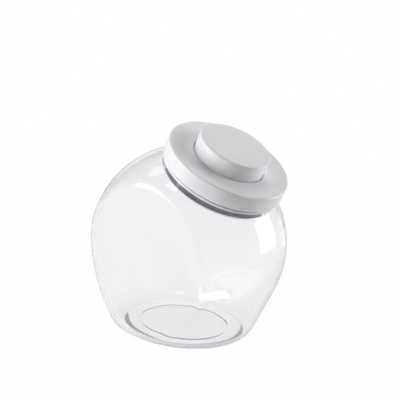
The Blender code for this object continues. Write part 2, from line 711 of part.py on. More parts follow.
def button_core(lid, material):
    """The core: a tube with two flanges that hold the lever tips, and the plate with the latch's track."""
    profile = [
        (0, CORE_HEAD - CORE_CEILING),
        (CORE_BORE, CORE_HEAD - CORE_CEILING),
        (CORE_BORE, LOWER_FLANGE_BOTTOM),
        (CORE_FLANGE_RADIUS, LOWER_FLANGE_BOTTOM),
        (CORE_FLANGE_RADIUS, LOWER_FLANGE_TOP),
        (CORE_RADIUS, LOWER_FLANGE_TOP),
        (CORE_RADIUS, UPPER_FLANGE_BOTTOM),
        (CORE_FLANGE_RADIUS, UPPER_FLANGE_BOTTOM),
        (CORE_FLANGE_RADIUS, UPPER_FLANGE_TOP),
        (CORE_RADIUS, UPPER_FLANGE_TOP),
        (CORE_RADIUS, CORE_HEAD),
        (0, CORE_HEAD),
    ]
    shape = turned(profile, 2 * SMALL_SIDES)
    tabs = []
    holes = []
    for angle in core_screw_angles():
        tab = wrapped([(CORE_RADIUS, 0, CORE_BOSS_RADIUS), (CORE_SCREW_RADIUS, 0, CORE_BOSS_RADIUS)], CORE_FLANGE)
        laid = Matrix.Rotation(math.pi / 2, 4, "X")
        height = (UPPER_FLANGE_BOTTOM + UPPER_FLANGE_TOP) / 2
        tabs.append(moved(moved(tab, laid), around(angle) @ Matrix.Translation((0, 0, height))))
        at = (CORE_SCREW_RADIUS * math.cos(angle), CORE_SCREW_RADIUS * math.sin(angle))
        holes.append(rod(CORE_SCREW_SHANK + SEAT_GAP, UPPER_FLANGE_BOTTOM - SEAT_GAP,
                         UPPER_FLANGE_TOP + SEAT_GAP, at))
    for tab in tabs:
        shape = joined(shape, tab)
    turn = around(LATCH_AZIMUTH)
    low = wire_tip_height() - 3 * WIRE_RADIUS - WIRE_PLAY
    high = wire_tip_height() + PRESS_TRAVEL + 3 * WIRE_RADIUS + WIRE_PLAY
    rib = block(((CORE_BORE + CORE_RADIUS) / 2, -RIB_WIDTH / 2, low),
                (TRACK_FACE - TRACK_PLATE / 2, RIB_WIDTH / 2, CORE_HEAD - CORE_CEILING / 2))
    plate = block((TRACK_FACE - TRACK_PLATE, -TRACK_WIDTH / 2, low), (TRACK_FACE, TRACK_WIDTH / 2, high))
    shape = joined(joined(shape, moved(rib, turn)), moved(plate, turn))
    for lane in track_lanes():
        shape = cut(shape, moved(lane, turn))
    shape = cut(shape, together(holes))
    add("button_core", mesh_of("button_core", shape, material), lid)


def track_lanes():
    """The three straight lanes of the heart-shaped track: down, back, and across to the lock."""
    tip = wire_tip_height()
    lane_radius = WIRE_RADIUS + WIRE_PLAY
    start = (0.0, tip)
    lock = (TRACK_SHIFT, tip + PRESS_TRAVEL)
    turn = (-TRACK_SHIFT, tip + PRESS_TRAVEL - TRACK_TURN_DROP)
    lanes = []
    for one, other in ((start, lock), (start, turn), (turn, lock)):
        lane = wrapped([(one[0], one[1], lane_radius), (other[0], other[1], lane_radius)], 2 * TRACK_DEPTH)
        # Across the lid's radius: the lane's own X runs sideways, and its width runs along the radius.
        sideways = Matrix.Rotation(math.pi / 2, 4, "Z")
        lanes.append(moved(moved(lane, sideways), Matrix.Translation((TRACK_FACE, 0, 0))))
    return lanes


def core_screws(lid, material):
    """The screws that hold the core to the button, with their heads under the upper flange."""
    mesh = screw_mesh("core_screw", CORE_SCREW_SHANK, CORE_SCREW_HEAD, material)
    for index, angle in enumerate(core_screw_angles()):
        place = around(angle) @ Matrix.Translation((CORE_SCREW_RADIUS, 0, UPPER_FLANGE_BOTTOM - SEAT_GAP))
        add(f"core_screw_{index + 1}", mesh, lid, place)


def levers(lid, material, pin_material):
    """The levers, tip up and nose down at rest, and the pins they turn on."""
    bar = wrapped([
        (-LEVER_INNER_ARM, 0, LEVER_TIP_RADIUS),
        (0, 0, LEVER_HUB_RADIUS),
        (LEVER_OUTER_ARM, 0, LEVER_NOSE_RADIUS),
    ], LEVER_WIDTH)
    bar = cut(bar, lying_along_y(rod(PIN_RADIUS + SEAT_GAP, -LEVER_WIDTH, LEVER_WIDTH)))
    bar = moved(bar, Matrix.Rotation(LEVER_SWING, 4, "Y"))
    mesh = mesh_of("lever", bar, material)
    half_pin = LEVER_WIDTH / 2 + SEAT_GAP + EAR_THICKNESS
    pin = mesh_of("lever_pin", lying_along_y(rod(PIN_RADIUS, -half_pin, half_pin)), pin_material)
    for index, angle in enumerate(lever_angles()):
        place = around(angle) @ Matrix.Translation((LEVER_PIVOT_RADIUS, 0, LEVER_PIVOT_HEIGHT))
        add(f"lever_{index + 1}", mesh, lid, place)
        add(f"lever_pin_{index + 1}", pin, lid, place)


def lug_window():
    """Lowest and highest edge of the slot in a lug, clear of a lever that swings either way."""
    away = LUG_INNER - LEVER_PIVOT_RADIUS
    thickness = LEVER_HUB_RADIUS - (LEVER_HUB_RADIUS - LEVER_NOSE_RADIUS) * away / LEVER_OUTER_ARM
    half = thickness / math.cos(LEVER_SWING) + SEAT_GAP
    rest = LEVER_PIVOT_HEIGHT - away * math.tan(LEVER_SWING)
    pressed = LEVER_PIVOT_HEIGHT + away * math.tan(LEVER_SWING) - SEAL_TRAVEL
    return pressed - half, rest + half


def seal_plate(lid, material):
    """The plate that squeezes the gasket: a shallow tray with a flange, and a slotted lug for each lever."""
    slope_low = FLOOR_BOTTOM + FRAME_CHAMFER_HEIGHT - SEAL_TRAVEL - SEAT_GAP
    lean = SEAL_WALL / 2
    profile = [
        (0, SEAL_FLOOR_BOTTOM),
        (FRAME_WALL_RADIUS - FRAME_CHAMFER + lean, SEAL_FLOOR_BOTTOM),
        (SEAL_INNER_RADIUS + SEAL_WALL, slope_low - lean),
        (SEAL_INNER_RADIUS + SEAL_WALL, SEAL_TOP - SEAL_FLANGE),
        (SEAL_FLANGE_RADIUS, SEAL_TOP - SEAL_FLANGE),
        (SEAL_FLANGE_RADIUS, SEAL_TOP),
        (SEAL_INNER_RADIUS, SEAL_TOP),
        (SEAL_INNER_RADIUS, slope_low),
        (FRAME_WALL_RADIUS - FRAME_CHAMFER + SEAT_GAP, SEAL_FLOOR_TOP),
        (0, SEAL_FLOOR_TOP),
    ]
    shape = turned(profile, LID_SIDES)
    slot_low, slot_high = lug_window()
    slot_half = LEVER_WIDTH / 2 + SEAT_GAP
    lugs = []
    slots = []
    for angle in lever_angles():
        lug = block((LUG_INNER, -LUG_WIDTH / 2, SEAL_FLOOR_TOP - SEAL_WALL / 2),
                    (LUG_OUTER, LUG_WIDTH / 2, slot_high + LUG_TOP))
        slot = block((LUG_INNER - SEAT_GAP, -slot_half, slot_low), (LUG_OUTER + SEAT_GAP, slot_half, slot_high))
        lugs.append(moved(lug, around(angle)))
        slots.append(moved(slot, around(angle)))
    shape = cut(joined(shape, together(lugs)), together(slots))
    add("seal_plate", mesh_of("seal_plate", shape, material), lid)


def latch_wire(lid, material):
    """The wire that follows the track: pivot in the bracket, up the plate's face and in to its tip."""
    pivot = latch_pivot_height()
    tip = wire_tip_height() - pivot
    rise = TRACK_FACE + WIRE_RADIUS + WIRE_PLAY
    bend = 2 * WIRE_RADIUS
    route = [
        (TRACK_FACE - TRACK_DEPTH + WIRE_PLAY, tip),
        (rise - bend / 2, tip),
        (rise, tip - bend / 2),
        (rise, bend / 2),
        (rise + bend / 2, 0),
        (rise + bend + BRACKET_LENGTH + SEAT_GAP, 0),
    ]
    curve = bpy.data.curves.new("latch_wire", "CURVE")
    curve.dimensions = "3D"
    curve.bevel_depth = WIRE_RADIUS
    curve.bevel_resolution = 1
    curve.use_fill_caps = True
    spline = curve.splines.new("POLY")
    spline.points.add(len(route) - 1)
    for point, (radius, height) in zip(spline.points, route):
        point.co = (radius, 0.0, height, 1.0)
    curve.materials.append(material)
    add("latch_wire", curve, lid, around(LATCH_AZIMUTH) @ Matrix.Translation((0, 0, pivot)))


def build():
    """Clears the scene and makes every piece."""
    for item in list(bpy.data.objects):
        bpy.data.objects.remove(item)
    clear = finish("clear_plastic", (0.90, 0.93, 0.94), 0.03, alpha=0.3)
    white = finish("white_plastic", (0.86, 0.86, 0.87), 0.4)
    nylon = finish("natural_nylon", (0.80, 0.79, 0.74), 0.45)
    silicone = finish("grey_silicone", (0.19, 0.21, 0.22), 0.55)
    steel = finish("zinc_steel", (0.62, 0.63, 0.65), 0.3, metallic=1.0)
    lid = bpy.data.objects.new("lid_axis", None)
    bpy.context.scene.collection.objects.link(lid)
    lid.location = JAR_CENTRE + MOUTH_AXIS * RIM_REACH
    lid.rotation_euler = (MOUTH_TILT, 0.0, 0.0)
    jar_body(clear)
    lid_cap(lid, white)
    lid_frame(lid, white)
    gasket(lid, silicone)
    spring(lid, steel)
    cap_screws(lid, steel)
    button_cap(lid, white)
    button_core(lid, nylon)
    core_screws(lid, steel)
    levers(lid, nylon, steel)
    seal_plate(lid, white)
    latch_wire(lid, steel)
    bpy.context.view_layer.update()


build()
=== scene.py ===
"""Looks of a clear jar with two flat sides and a white push-button lid that leans with its mouth.

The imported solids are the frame. The pieces that show are made again here as fine surfaces over them: the
jar's two skins, and the lid's turned shells. Metres, +Z up.
"""

import json
import math

import bmesh
import bpy
import numpy as np
from mathutils import Matrix, Vector


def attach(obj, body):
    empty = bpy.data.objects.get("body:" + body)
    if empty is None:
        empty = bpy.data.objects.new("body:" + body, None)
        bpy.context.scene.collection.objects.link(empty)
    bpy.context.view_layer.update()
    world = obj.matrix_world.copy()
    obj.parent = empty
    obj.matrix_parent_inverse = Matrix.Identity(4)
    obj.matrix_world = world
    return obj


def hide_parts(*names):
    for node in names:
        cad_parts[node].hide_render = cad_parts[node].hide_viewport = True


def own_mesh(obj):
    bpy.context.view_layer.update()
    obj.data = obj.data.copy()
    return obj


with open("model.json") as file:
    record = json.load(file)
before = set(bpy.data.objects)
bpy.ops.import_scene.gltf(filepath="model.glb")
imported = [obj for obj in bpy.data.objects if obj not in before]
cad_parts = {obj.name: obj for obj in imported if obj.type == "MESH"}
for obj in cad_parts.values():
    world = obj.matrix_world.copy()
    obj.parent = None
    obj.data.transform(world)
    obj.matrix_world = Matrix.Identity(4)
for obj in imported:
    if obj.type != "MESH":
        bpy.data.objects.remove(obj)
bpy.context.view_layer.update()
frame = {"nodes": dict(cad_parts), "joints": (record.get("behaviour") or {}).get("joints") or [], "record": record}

# Jar: a ball with two flat sides, drawn out at the bottom to an oval foot. The foot's steps are a little
# lower and softer than the solid's.
BODY_RADIUS = 0.0966
SIDE_FLAT = 0.0646
SIDE_BLEND = 0.0037
JAR_WALL = 0.0028
FOOT_DROP = 0.0896
FOOT_HALF_WIDTH = 0.0502
FOOT_HALF_DEPTH = 0.0656
FOOT_SHIFT = 0.0116
FOOT_ROUNDING = 0.0105
FOOT_RING_SHIFT = -0.0044
FOOT_STAND = 0.0005
FOOT_BAND = 0.0148
FOOT_RECESS = 0.0009
FOOT_RECESS_EDGE = 0.0034
JAR_FLOOR = 0.0036
FLOOR_ROUNDING = 0.0085
NECK_RADIUS = 0.0565
NECK_STAND = 0.0054
NECK_WALL = 0.0024
NECK_FILLET = 0.0014
RIM_ROUNDING = 0.0007

# Lid: the frame's lip rests on the rim and the cap on the lip, with a crease between them. Heights count
# from the rim along the mouth's axis.
SEAT_GAP = 0.0003
LIP_RADIUS = 0.0575
LIP_HEIGHT = 0.0035
LIP_CREASE = 0.0013
LIP_CREASE_DEPTH = 0.0018
CAP_RADIUS = 0.0590
CAP_HEIGHT = 0.0154
CAP_WALL = 0.0022
CAP_ROUNDING = 0.0015
CAP_DISH = 0.0011
COLLAR_DEPTH = 0.0060
HOLE_ROUNDING = 0.0008
EDGE_ROUNDING = 0.0004
BUTTON_RADIUS = 0.0343
BUTTON_GAP = 0.0006
BUTTON_STAND = 0.0145
BUTTON_WALL = 0.0022
BUTTON_ROUNDING = 0.0014
SKIRT_OVERLAP = 0.0044
NOTCH_HALF = 0.0028
NOTCH_TOP = 0.01796

# Frame, levers and seal under the cap.
FRAME_WALL_RADIUS = 0.0444
FRAME_WALL = 0.0020
FRAME_FLOOR = 0.0015
FRAME_CHAMFER = 0.0018
FRAME_CHAMFER_HEIGHT = 0.00252
POST_RADIUS = 0.0062
POST_WALL = 0.0016
POST_TOP = 0.0064
LEVER_PIVOT_RADIUS = 0.0373
LEVER_PIVOT_HEIGHT = 0.0021
EAR_INNER = 0.0025
EAR_THICKNESS = 0.0018
EAR_HALF_WIDTH = 0.00215
EAR_ROUNDING = 0.9 * EAR_HALF_WIDTH
PIN_HOLE = 0.0011
BRACKET_PLACE = 0.0247
BRACKET_LENGTH = 0.0024
BRACKET_WIDTH = 0.0052
WIRE_HOLE = 0.00095
WIRE_HEIGHT = 0.00295
SEAL_FLANGE_RADIUS = 0.0526
SEAL_FLANGE = 0.0017
SEAL_WALL = 0.0016
GASKET_HEIGHT = 0.0070
GASKET_ROUNDING = 0.0011
GASKET_BORE_GAP = 0.0007
LUG_PLACE = 0.0409
LUG_THICKNESS = 0.0022
LUG_WIDTH = 0.0090
LUG_ROUNDING = 0.0008
LUG_TOP = 0.0012
SLOT_HALF = 0.0025
SLOT_LOW = -0.00102
SLOT_HIGH = 0.00305
SPRING_RADIUS = 0.0074
SPRING_WIRE = 0.00045
SPRING_TURNS = 8
SPRING_CLOSED_RISE = 2.2 * SPRING_WIRE

# Numbers of levers and screws, where the screws start round the axis, and the tubes and bosses that hold
# them. All screws have the same grip.
LEVERS = 4
CAP_SCREWS = 4
CORE_SCREWS = 3
QUARTER_TURN = math.pi / 2
CAP_SCREW_START = QUARTER_TURN / 2
CORE_SCREW_START = 3 * QUARTER_TURN / 2
CAP_SCREW_RADIUS = 0.0383
CAP_SCREW_HOLE = 0.0015
CAP_HEAD_HOLE = 0.0025
CAP_POST_RADIUS = 0.0036
CAP_POST_TOP = 0.0050
CAP_BOSS_RADIUS = 0.0032
CORE_SCREW_RADIUS = 0.0165
CORE_SCREW_HOLE = 0.0013
CORE_BOSS_RADIUS = 0.0030
CORE_BOSS_LOW = 0.01245
SCREW_GRIP = 0.0070

# How finely the surfaces are divided: sides, rings and steps, and shares of the way up the stand ring's
# edge and in to the middle of the foot.
JAR_SIDES = 288
JAR_RINGS = 100
LID_SIDES = 256
POST_SIDES = 40
WIRE_SIDES = 12
TURN_STEPS = 32
ARC_STEPS = 6
DISH_STEPS = 13
STAND_SHARES = (0.0, 0.3, 0.7)
FLAT_SHARES = (0.8, 0.6, 0.4, 0.2)
HALVINGS = 40

# Limits: points within the merge distance are one, no length is divided by less than a tiny one, and edges
# that turn by more than the sharp angle, in degrees, are sharp.
MERGE_DISTANCE = 1e-6
TINY = 1e-9
SHARP_ANGLE = 32
JAR_SHARP_ANGLE = 80

# Finishes: sizes of their patterns, and after how many mirrorings a ray goes straight out of the jar.
FLOW_SIZE = 0.0714
CLOUD_SIZE = 0.04
PATCH_SIZE = 0.0025
ROUGHNESS_SPREAD = 0.04
WALL_MIRRORINGS = 3

# Floor: its size, its paint, and the share of plain white in it: to the camera near the object, to rays
# that the jar bends and to rays that are mirrored. To the camera it is all white from the shadow's end on.
WHITE = "#ffffff"
FLOOR_REACH = 12.0
FLOOR_GAP = 0.0003
FLOOR_COLOUR = "#d6d6d7"
FLOOR_LIFT = 0.97
FLOOR_LIFT_THROUGH = 0.88
FLOOR_LIFT_MIRRORED = 0.10
SHADOW_REACH = 0.25
SHADOW_END = 4 * SHADOW_REACH

# Contact shadow, in half sizes of the foot: where it starts, is darkest and ends, how much white it takes,
# and from where towards the camera it is there.
CONTACT_START = 0.97
CONTACT_PEAK = 1.06
CONTACT_END = 1.40
CONTACT_DEPTH = 0.85
CONTACT_FRONT = 0.25

# Dark flag, which the near flat side mirrors: cosines from its middle to its edges, how dark it is, and how
# far out it starts on the floor.
FLAG_EDGE = 0.90
FLAG_MIDDLE = 0.94
FLAG_DEPTH = 0.9
FLAG_REACH = 0.32
FLAG_END = 1.3 * FLAG_REACH

# Room: heights and sides are parts of a unit direction, and a light of 1 is white.
BACKDROP_TOP = 0.25
CEILING_START = 0.40
BACKDROP_SIDE = 0.75
BACKDROP_EDGE = 0.92
HORIZON_LIGHT = 0.88
ROOM_TOP = 0.50
ROOM_LIGHT = 0.42
FILL_LIGHT = 0.06

# Floor glint: a lit strip just over the floor to the jar's left, which its wall mirrors as a bright patch.
GLINT_WIDTH = 0.215
GLINT_LENGTH = 0.034
GLINT_RADIANCE = 2.8
GLINT_PLACE = (-0.130, -0.095, 0.003)
GLINT_TURN = math.radians(-34)

# The photo's camera: where it stands round the jar's centre, and its lens in pixels of the photo's width.
PHOTO_PIXELS = 400
CAMERA_AZIMUTH = math.radians(-49.961)
CAMERA_ELEVATION = math.radians(14.209)
CAMERA_DISTANCE = 0.71032
CAMERA_FOCUS_PIXELS = 718.7
CAMERA_RIGHT = 0.011276
CAMERA_UP = 0.040963
SENSOR_WIDTH = 36.0
CLIP_START = 0.01

# Heights in the lid above the rim, and the button's hole.
CAP_LOW = 2 * SEAT_GAP + LIP_HEIGHT
CAP_TOP = CAP_LOW + CAP_HEIGHT
DISH = CAP_TOP - CAP_DISH
HOLE_RADIUS = BUTTON_RADIUS + BUTTON_GAP
BUTTON_TOP = CAP_TOP + BUTTON_STAND
SKIRT_LOW = DISH - SKIRT_OVERLAP

# The mouth's axis from the frame, and the ball's middle, which centres the whole object on the origin.
JOINTS = {joint["name"]: joint for joint in frame["joints"]}
MOUTH_AXIS = Vector(JOINTS["lid_lift"]["axis"]).normalized()
MOUTH_TILT = math.atan2(-MOUTH_AXIS.y, MOUTH_AXIS.z)
RIM_REACH = math.sqrt(BODY_RADIUS**2 - NECK_RADIUS**2) + NECK_STAND
LID_REACH = ((RIM_REACH + CAP_TOP - CAP_ROUNDING) * math.sin(MOUTH_TILT)
             + (CAP_RADIUS - CAP_ROUNDING) * math.cos(MOUTH_TILT) + CAP_ROUNDING)
CENTRE_Y = (LID_REACH - BODY_RADIUS) / 2
JAR_CENTRE = Vector((0.0, CENTRE_Y, FOOT_DROP))
RIM_CENTRE = JAR_CENTRE + MOUTH_AXIS * RIM_REACH
LID_FRAME = Matrix.Translation(RIM_CENTRE) @ Matrix.Rotation(MOUTH_TILT, 4, "X")


# Measuring the solids.

def lid_extent(name):
    """Lowest and highest height of a solid above the rim."""
    mesh = frame["nodes"][name].data
    points = np.zeros(len(mesh.vertices) * 3, np.float32)
    mesh.vertices.foreach_get("co", points)
    heights = (points.reshape(-1, 3) - np.array(RIM_CENTRE)) @ np.array(MOUTH_AXIS)
    return heights.min(), heights.max()


# Closed shapes: an array of points and a list of faces that point outwards.

def skin(rings, low_pole=None, high_pole=None):
    """A closed shape over rings of points: quads between rings, and a fan to each pole, or the last ring
    joined to the first where there are no poles. The faces are turned so that its volume is positive."""
    rings = np.asarray(rings, float)
    layers, count = rings.shape[:2]
    points = rings.reshape(-1, 3)
    index = np.arange(layers * count).reshape(layers, count)
    after = np.roll(index, -1, axis=1)
    if low_pole is None:
        upper, upper_after = np.roll(index, -1, axis=0), np.roll(after, -1, axis=0)
        faces = np.stack([index, after, upper_after, upper], axis=-1).reshape(-1, 4).tolist()
    else:
        faces = np.stack([index[:-1], after[:-1], after[1:], index[1:]], axis=-1).reshape(-1, 4).tolist()
        low = np.full(count, layers * count)
        faces += np.stack([after[0], index[0], low], axis=-1).tolist()
        faces += np.stack([index[-1], after[-1], low + 1], axis=-1).tolist()
        points = np.vstack([points, [low_pole, high_pole]])
    corners = [points[[face[side] for face in faces]] for side in range(3)]
    volume = np.einsum("ij,ij->i", corners[0], np.cross(corners[1], corners[2])).sum()
    if volume < 0:
        faces = [face[::-1] for face in faces]
    return points, faces


def full_turn(count):
    """Even angles round a full turn."""
    return np.linspace(0, 2 * math.pi, count, endpoint=False)


def turned_rings(profile, sides):
    """A level ring of points for each profile point (radius, height)."""
    angles = full_turn(sides)
    radii, heights = profile[:, 0:1], profile[:, 1:2]
    return np.stack([radii * np.cos(angles), radii * np.sin(angles), heights + 0 * angles], axis=-1)


def turned(profile, sides=LID_SIDES, at=(0.0, 0.0)):
    """Each profile point (r, h) goes round an upright axis at radius r. A closed profile gives a ring, and
    one that starts and ends on the axis gives a solid."""
    profile = np.asarray(profile, float)
    on_axis = profile[0][0] == 0
    rings = turned_rings(profile[1:-1] if on_axis else profile, sides) + np.array([*at, 0.0])
    if not on_axis:
        return skin(rings)
    return skin(rings, (*at, profile[0][1]), (*at, profile[-1][1]))


def rounded(corners):
    """A closed profile through corners of (across, up, rounding): each rounded corner is the arc of that
    radius that touches both of its sides, and a corner without rounding stays a point."""
    points = []
    for number, (across, up, rounding) in enumerate(corners):
        here = np.array([across, up])
        if rounding == 0:
            points.append(here)
            continue
        before = np.array(corners[number - 1][:2]) - here
        after = np.array(corners[(number + 1) % len(corners)][:2]) - here
        before = before / np.linalg.norm(before)
        after = after / np.linalg.norm(after)
        half = math.acos(float(np.clip(before @ after, -1, 1))) / 2
        middle = here + (before + after) / np.linalg.norm(before + after) * rounding / math.sin(half)
        start = here + before * rounding / math.tan(half) - middle
        end = here + after * rounding / math.tan(half) - middle
        turn = math.pi - 2 * half
        for share in np.linspace(0, 1, ARC_STEPS + 1):
            points.append(middle + (start * math.sin((1 - share) * turn) + end * math.sin(share * turn))
                          / math.sin(turn))
    return np.array(points)


def post(radius, low, high, at=(0.0, 0.0)):
    """A round bar between two heights."""
    return turned([(0, low), (radius, low), (radius, high), (0, high)], POST_SIDES, at)


def plate(outline, low, high):
    """An outline of (x, z) points carried along y from low to high, with ends that fan to its mean."""
    outline = np.asarray(outline, float)
    rings = [np.insert(outline, 1, y, axis=1) for y in (low, high)]
    middle = outline.mean(axis=0)
    return skin(rings, (middle[0], low, middle[1]), (middle[0], high, middle[1]))


def block(low, high, rounding=0.0, top_rounding=0.0):
    """A box from its low corner to its high corner, with its edges along y rounded."""
    outline = rounded([
        (low[0], low[2], rounding),
        (high[0], low[2], rounding),
        (high[0], high[2], top_rounding),
        (low[0], high[2], top_rounding),
    ])
    return plate(outline, low[1], high[1])


def moved(shape, matrix):
    """The same shape after a matrix."""
    points, faces = shape
    return points @ np.array(matrix.to_3x3()).T + np.array(matrix.translation), faces


def around(angle):
    """The turn about the mouth's axis by an angle."""
    return Matrix.Rotation(angle, 4, "Z")


def together(shapes):
    """Shapes that lie apart, as one."""
    points = np.vstack([shape[0] for shape in shapes])
    starts = np.cumsum([0] + [len(shape[0]) for shape in shapes[:-1]])
    faces = [[corner + int(start) for corner in face]
             for shape, start in zip(shapes, starts) for face in shape[1]]
    return points, faces


def quarters(shape):
    """A copy of a shape for each lever, a quarter turn apart about the axis, as one."""
    return together([moved(shape, around(number * QUARTER_TURN)) for number in range(LEVERS)])


def new_object(name, data):
    """An object of this data, put in the scene."""
    thing = bpy.data.objects.new(name, data)
    bpy.context.scene.collection.objects.link(thing)
    return thing


def mesh_of(name, shape, steps=()):
    """A mesh of a shape, after exact Boolean steps of (operation, shape) in their order."""
    mesh = bpy.data.meshes.new(name)
    mesh.from_pydata(shape[0].tolist(), [], shape[1])
    mesh.update()
    if not steps:
        return mesh
    body = new_object(name, mesh)
    tools = [new_object("tool", mesh_of("tool", tool)) for _, tool in steps]
    for (operation, _), tool in zip(steps, tools):
        modifier = body.modifiers.new("step", "BOOLEAN")
        modifier.operation = operation
        modifier.solver = "EXACT"
        modifier.object = tool
    made = bpy.data.meshes.new_from_object(body.evaluated_get(bpy.context.evaluated_depsgraph_get()))
    made.name = name
    for thing in (body, *tools):
        bpy.data.meshes.remove(thing.data)
    clean = bmesh.new()
    clean.from_mesh(made)
    bmesh.ops.remove_doubles(clean, verts=clean.verts, dist=MERGE_DISTANCE)
    clean.to_mesh(made)
    clean.free()
    return made


def place_piece(name, mesh, material, body, replaced, sharp=SHARP_ANGLE):
    """A finished piece: smooth with sharp edges, its material and body, and what it replaces."""
    mesh.shade_smooth()
    mesh.set_sharp_from_angle(angle=math.radians(sharp))
    mesh.materials.clear()
    mesh.materials.append(material)
    piece = new_object(name, mesh)
    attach(piece, body)
    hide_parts(*replaced)
    return piece


def lid_piece(name, shape, steps, material, body, replaced):
    """A piece made in the lid's frame and put in its tilted place."""
    mesh = mesh_of(name, shape, steps)
    mesh.transform(LID_FRAME)
    return place_piece(name, mesh, material, body, replaced)


# The jar's skins.

def wall_reach(height, foot):
    """Half-width at a height of the ball, and below its tangent point of the straight line from there to
    the foot's edge. Also gives the tangent point's latitude."""
    reach = math.hypot(foot, FOOT_DROP)
    angle = math.acos(min(BODY_RADIUS / reach, 1.0)) - math.atan2(FOOT_DROP, foot)
    tangent_height = BODY_RADIUS * math.sin(angle)
    tangent_width = BODY_RADIUS * math.cos(angle)
    slope = (foot - tangent_width) / (-FOOT_DROP - tangent_height)
    ball = np.sqrt(np.maximum(BODY_RADIUS**2 - height**2, 0.0))
    line = tangent_width + slope * (height - tangent_height)
    return np.where(height > tangent_height, ball, line), angle


def depth_below_skin(points):
    """Distance from the outer skin, positive inside. The round part is the ball, or below it an ellipse at
    each height; it is blended with the flat sides by a smooth minimum."""
    x, y, height = points[..., 0], points[..., 1], points[..., 2]
    foot = FOOT_HALF_DEPTH + FOOT_ROUNDING
    back, back_angle = wall_reach(height, foot + FOOT_SHIFT)
    front, front_angle = wall_reach(height, foot - FOOT_SHIFT)
    side, _ = wall_reach(height, FOOT_HALF_WIDTH + FOOT_ROUNDING)
    depth, shift = (back + front) / 2, (back - front) / 2
    latitude = np.arcsin(np.clip(height / BODY_RADIUS, -1, 1))
    upright = np.cos(np.maximum(latitude, (back_angle + front_angle) / 2))
    share = np.hypot(x / np.maximum(side, TINY), (y - shift) / np.maximum(depth, TINY))
    reach = np.hypot(x, y - shift) / np.maximum(share, TINY)
    on_ball = latitude > max(back_angle, front_angle)
    round_part = np.where(on_ball, BODY_RADIUS - np.linalg.norm(points, axis=-1),
                          (1 - share) * reach * upright)
    flat_part = SIDE_FLAT - np.abs(x)
    overlap = np.maximum(SIDE_BLEND - np.abs(round_part - flat_part), 0) / SIDE_BLEND
    return np.minimum(round_part, flat_part) - overlap**2 * SIDE_BLEND / 4


def rings_on_skin(middles, along, inset):
    """For each ring's middle and its two in-plane directions, the points at even angles that lie an inset
    below the outer skin, found by halving along each ray."""
    angles = full_turn(JAR_SIDES)
    rays = (np.cos(angles)[None, :, None] * np.array([1.0, 0.0, 0.0])
            + np.sin(angles)[None, :, None] * along[:, None, :])
    low = np.zeros(rays.shape[:2])
    high = np.full(rays.shape[:2], 2 * BODY_RADIUS)
    inset = np.broadcast_to(np.asarray(inset, float).reshape(-1, 1), low.shape)
    for _ in range(HALVINGS):
        half = (low + high) / 2
        depth = depth_below_skin(middles[:, None, :] + rays * half[..., None])
        low = np.where(depth > inset, half, low)
        high = np.where(depth > inset, high, half)
    return middles[:, None, :] + rays * low[..., None]


def foot_rings(floor, inset, rounding, stand=0.0):
    """The foot of a skin: a recess inside a flat band, with a step that rises by 3 s^2 - 2 s^3, a stand
    ring's upright edge, then the quarter round up to the wall, where the inset shrinks by the sine as the
    height grows by the cosine. The ring is set forward in it."""
    angles = np.linspace(0, math.pi / 2, 3 * ARC_STEPS + 1)
    edge_shares = np.array(STAND_SHARES if stand > 0 else ())
    angles = np.concatenate([0 * edge_shares, angles])
    heights = floor + stand + (rounding - stand) * (1 - np.cos(angles))
    heights[:len(edge_shares)] = floor + stand * edge_shares
    middles = np.stack([0 * heights, FOOT_SHIFT + 0 * heights, heights], axis=-1)
    along = np.tile([0.0, 1.0, 0.0], (len(angles), 1))
    round_rings = rings_on_skin(middles, along, inset + rounding * (1 - np.sin(angles)))
    round_rings[..., 1] += FOOT_RING_SHIFT * (1 - np.sin(angles))[:, None]
    middle = np.array([0.0, FOOT_SHIFT + FOOT_RING_SHIFT, floor])
    edge = round_rings[0] - middle
    band = 1 - FOOT_BAND / FOOT_HALF_DEPTH
    step = np.linspace(0, 1, ARC_STEPS + 1)
    shares = band - step * FOOT_RECESS_EDGE / FOOT_HALF_DEPTH
    rises = FOOT_RECESS * step**2 * (3 - 2 * step)
    shares = np.concatenate([[(1 + band) / 2], shares, shares[-1] * np.array(FLAT_SHARES)])
    rises = np.concatenate([[0.0], rises, np.full(len(FLAT_SHARES), FOOT_RECESS)])
    flat_rings = middle + edge[None] * shares[:, None, None]
    flat_rings[..., 2] += rises[:, None]
    return flat_rings[::-1], round_rings, middle + np.array([0.0, 0.0, FOOT_RECESS])


def wall_rings(start_height, end_reach, inset):
    """Rings from the foot to the neck, each in a plane of a fan that opens from level to the mouth's tilt
    about the line where the first and the last plane meet."""
    sine, cosine = math.sin(MOUTH_TILT), math.cos(MOUTH_TILT)
    pivot = np.array([0.0, (cosine * start_height - end_reach) / sine, start_height])
    shares = np.linspace(0, 1, JAR_RINGS + 1)[1:]
    angles = shares * MOUTH_TILT
    along = np.stack([0 * angles, np.cos(angles), np.sin(angles)], axis=-1)
    first = FOOT_SHIFT - pivot[1]
    last = np.linalg.norm(np.array([0.0, -sine, cosine]) * end_reach - pivot)
    middles = pivot + along * (first + (last - first) * shares)[:, None]
    return rings_on_skin(middles, along, inset)


def neck_corner(ball, neck, fillet):
    """Arc that joins a ball to a neck: its middle lies one fillet outside both. From the ball to the neck,
    as (radius, height above the rim)."""
    middle = np.array([neck + fillet, math.sqrt((ball + fillet)**2 - (neck + fillet)**2)])
    start = math.atan2(-middle[1], -middle[0])
    angles = np.linspace(start, -math.pi, ARC_STEPS + 1)
    arc = middle + fillet * np.stack([np.cos(angles), np.sin(angles)], axis=-1)
    return arc - np.array([0.0, RIM_REACH])


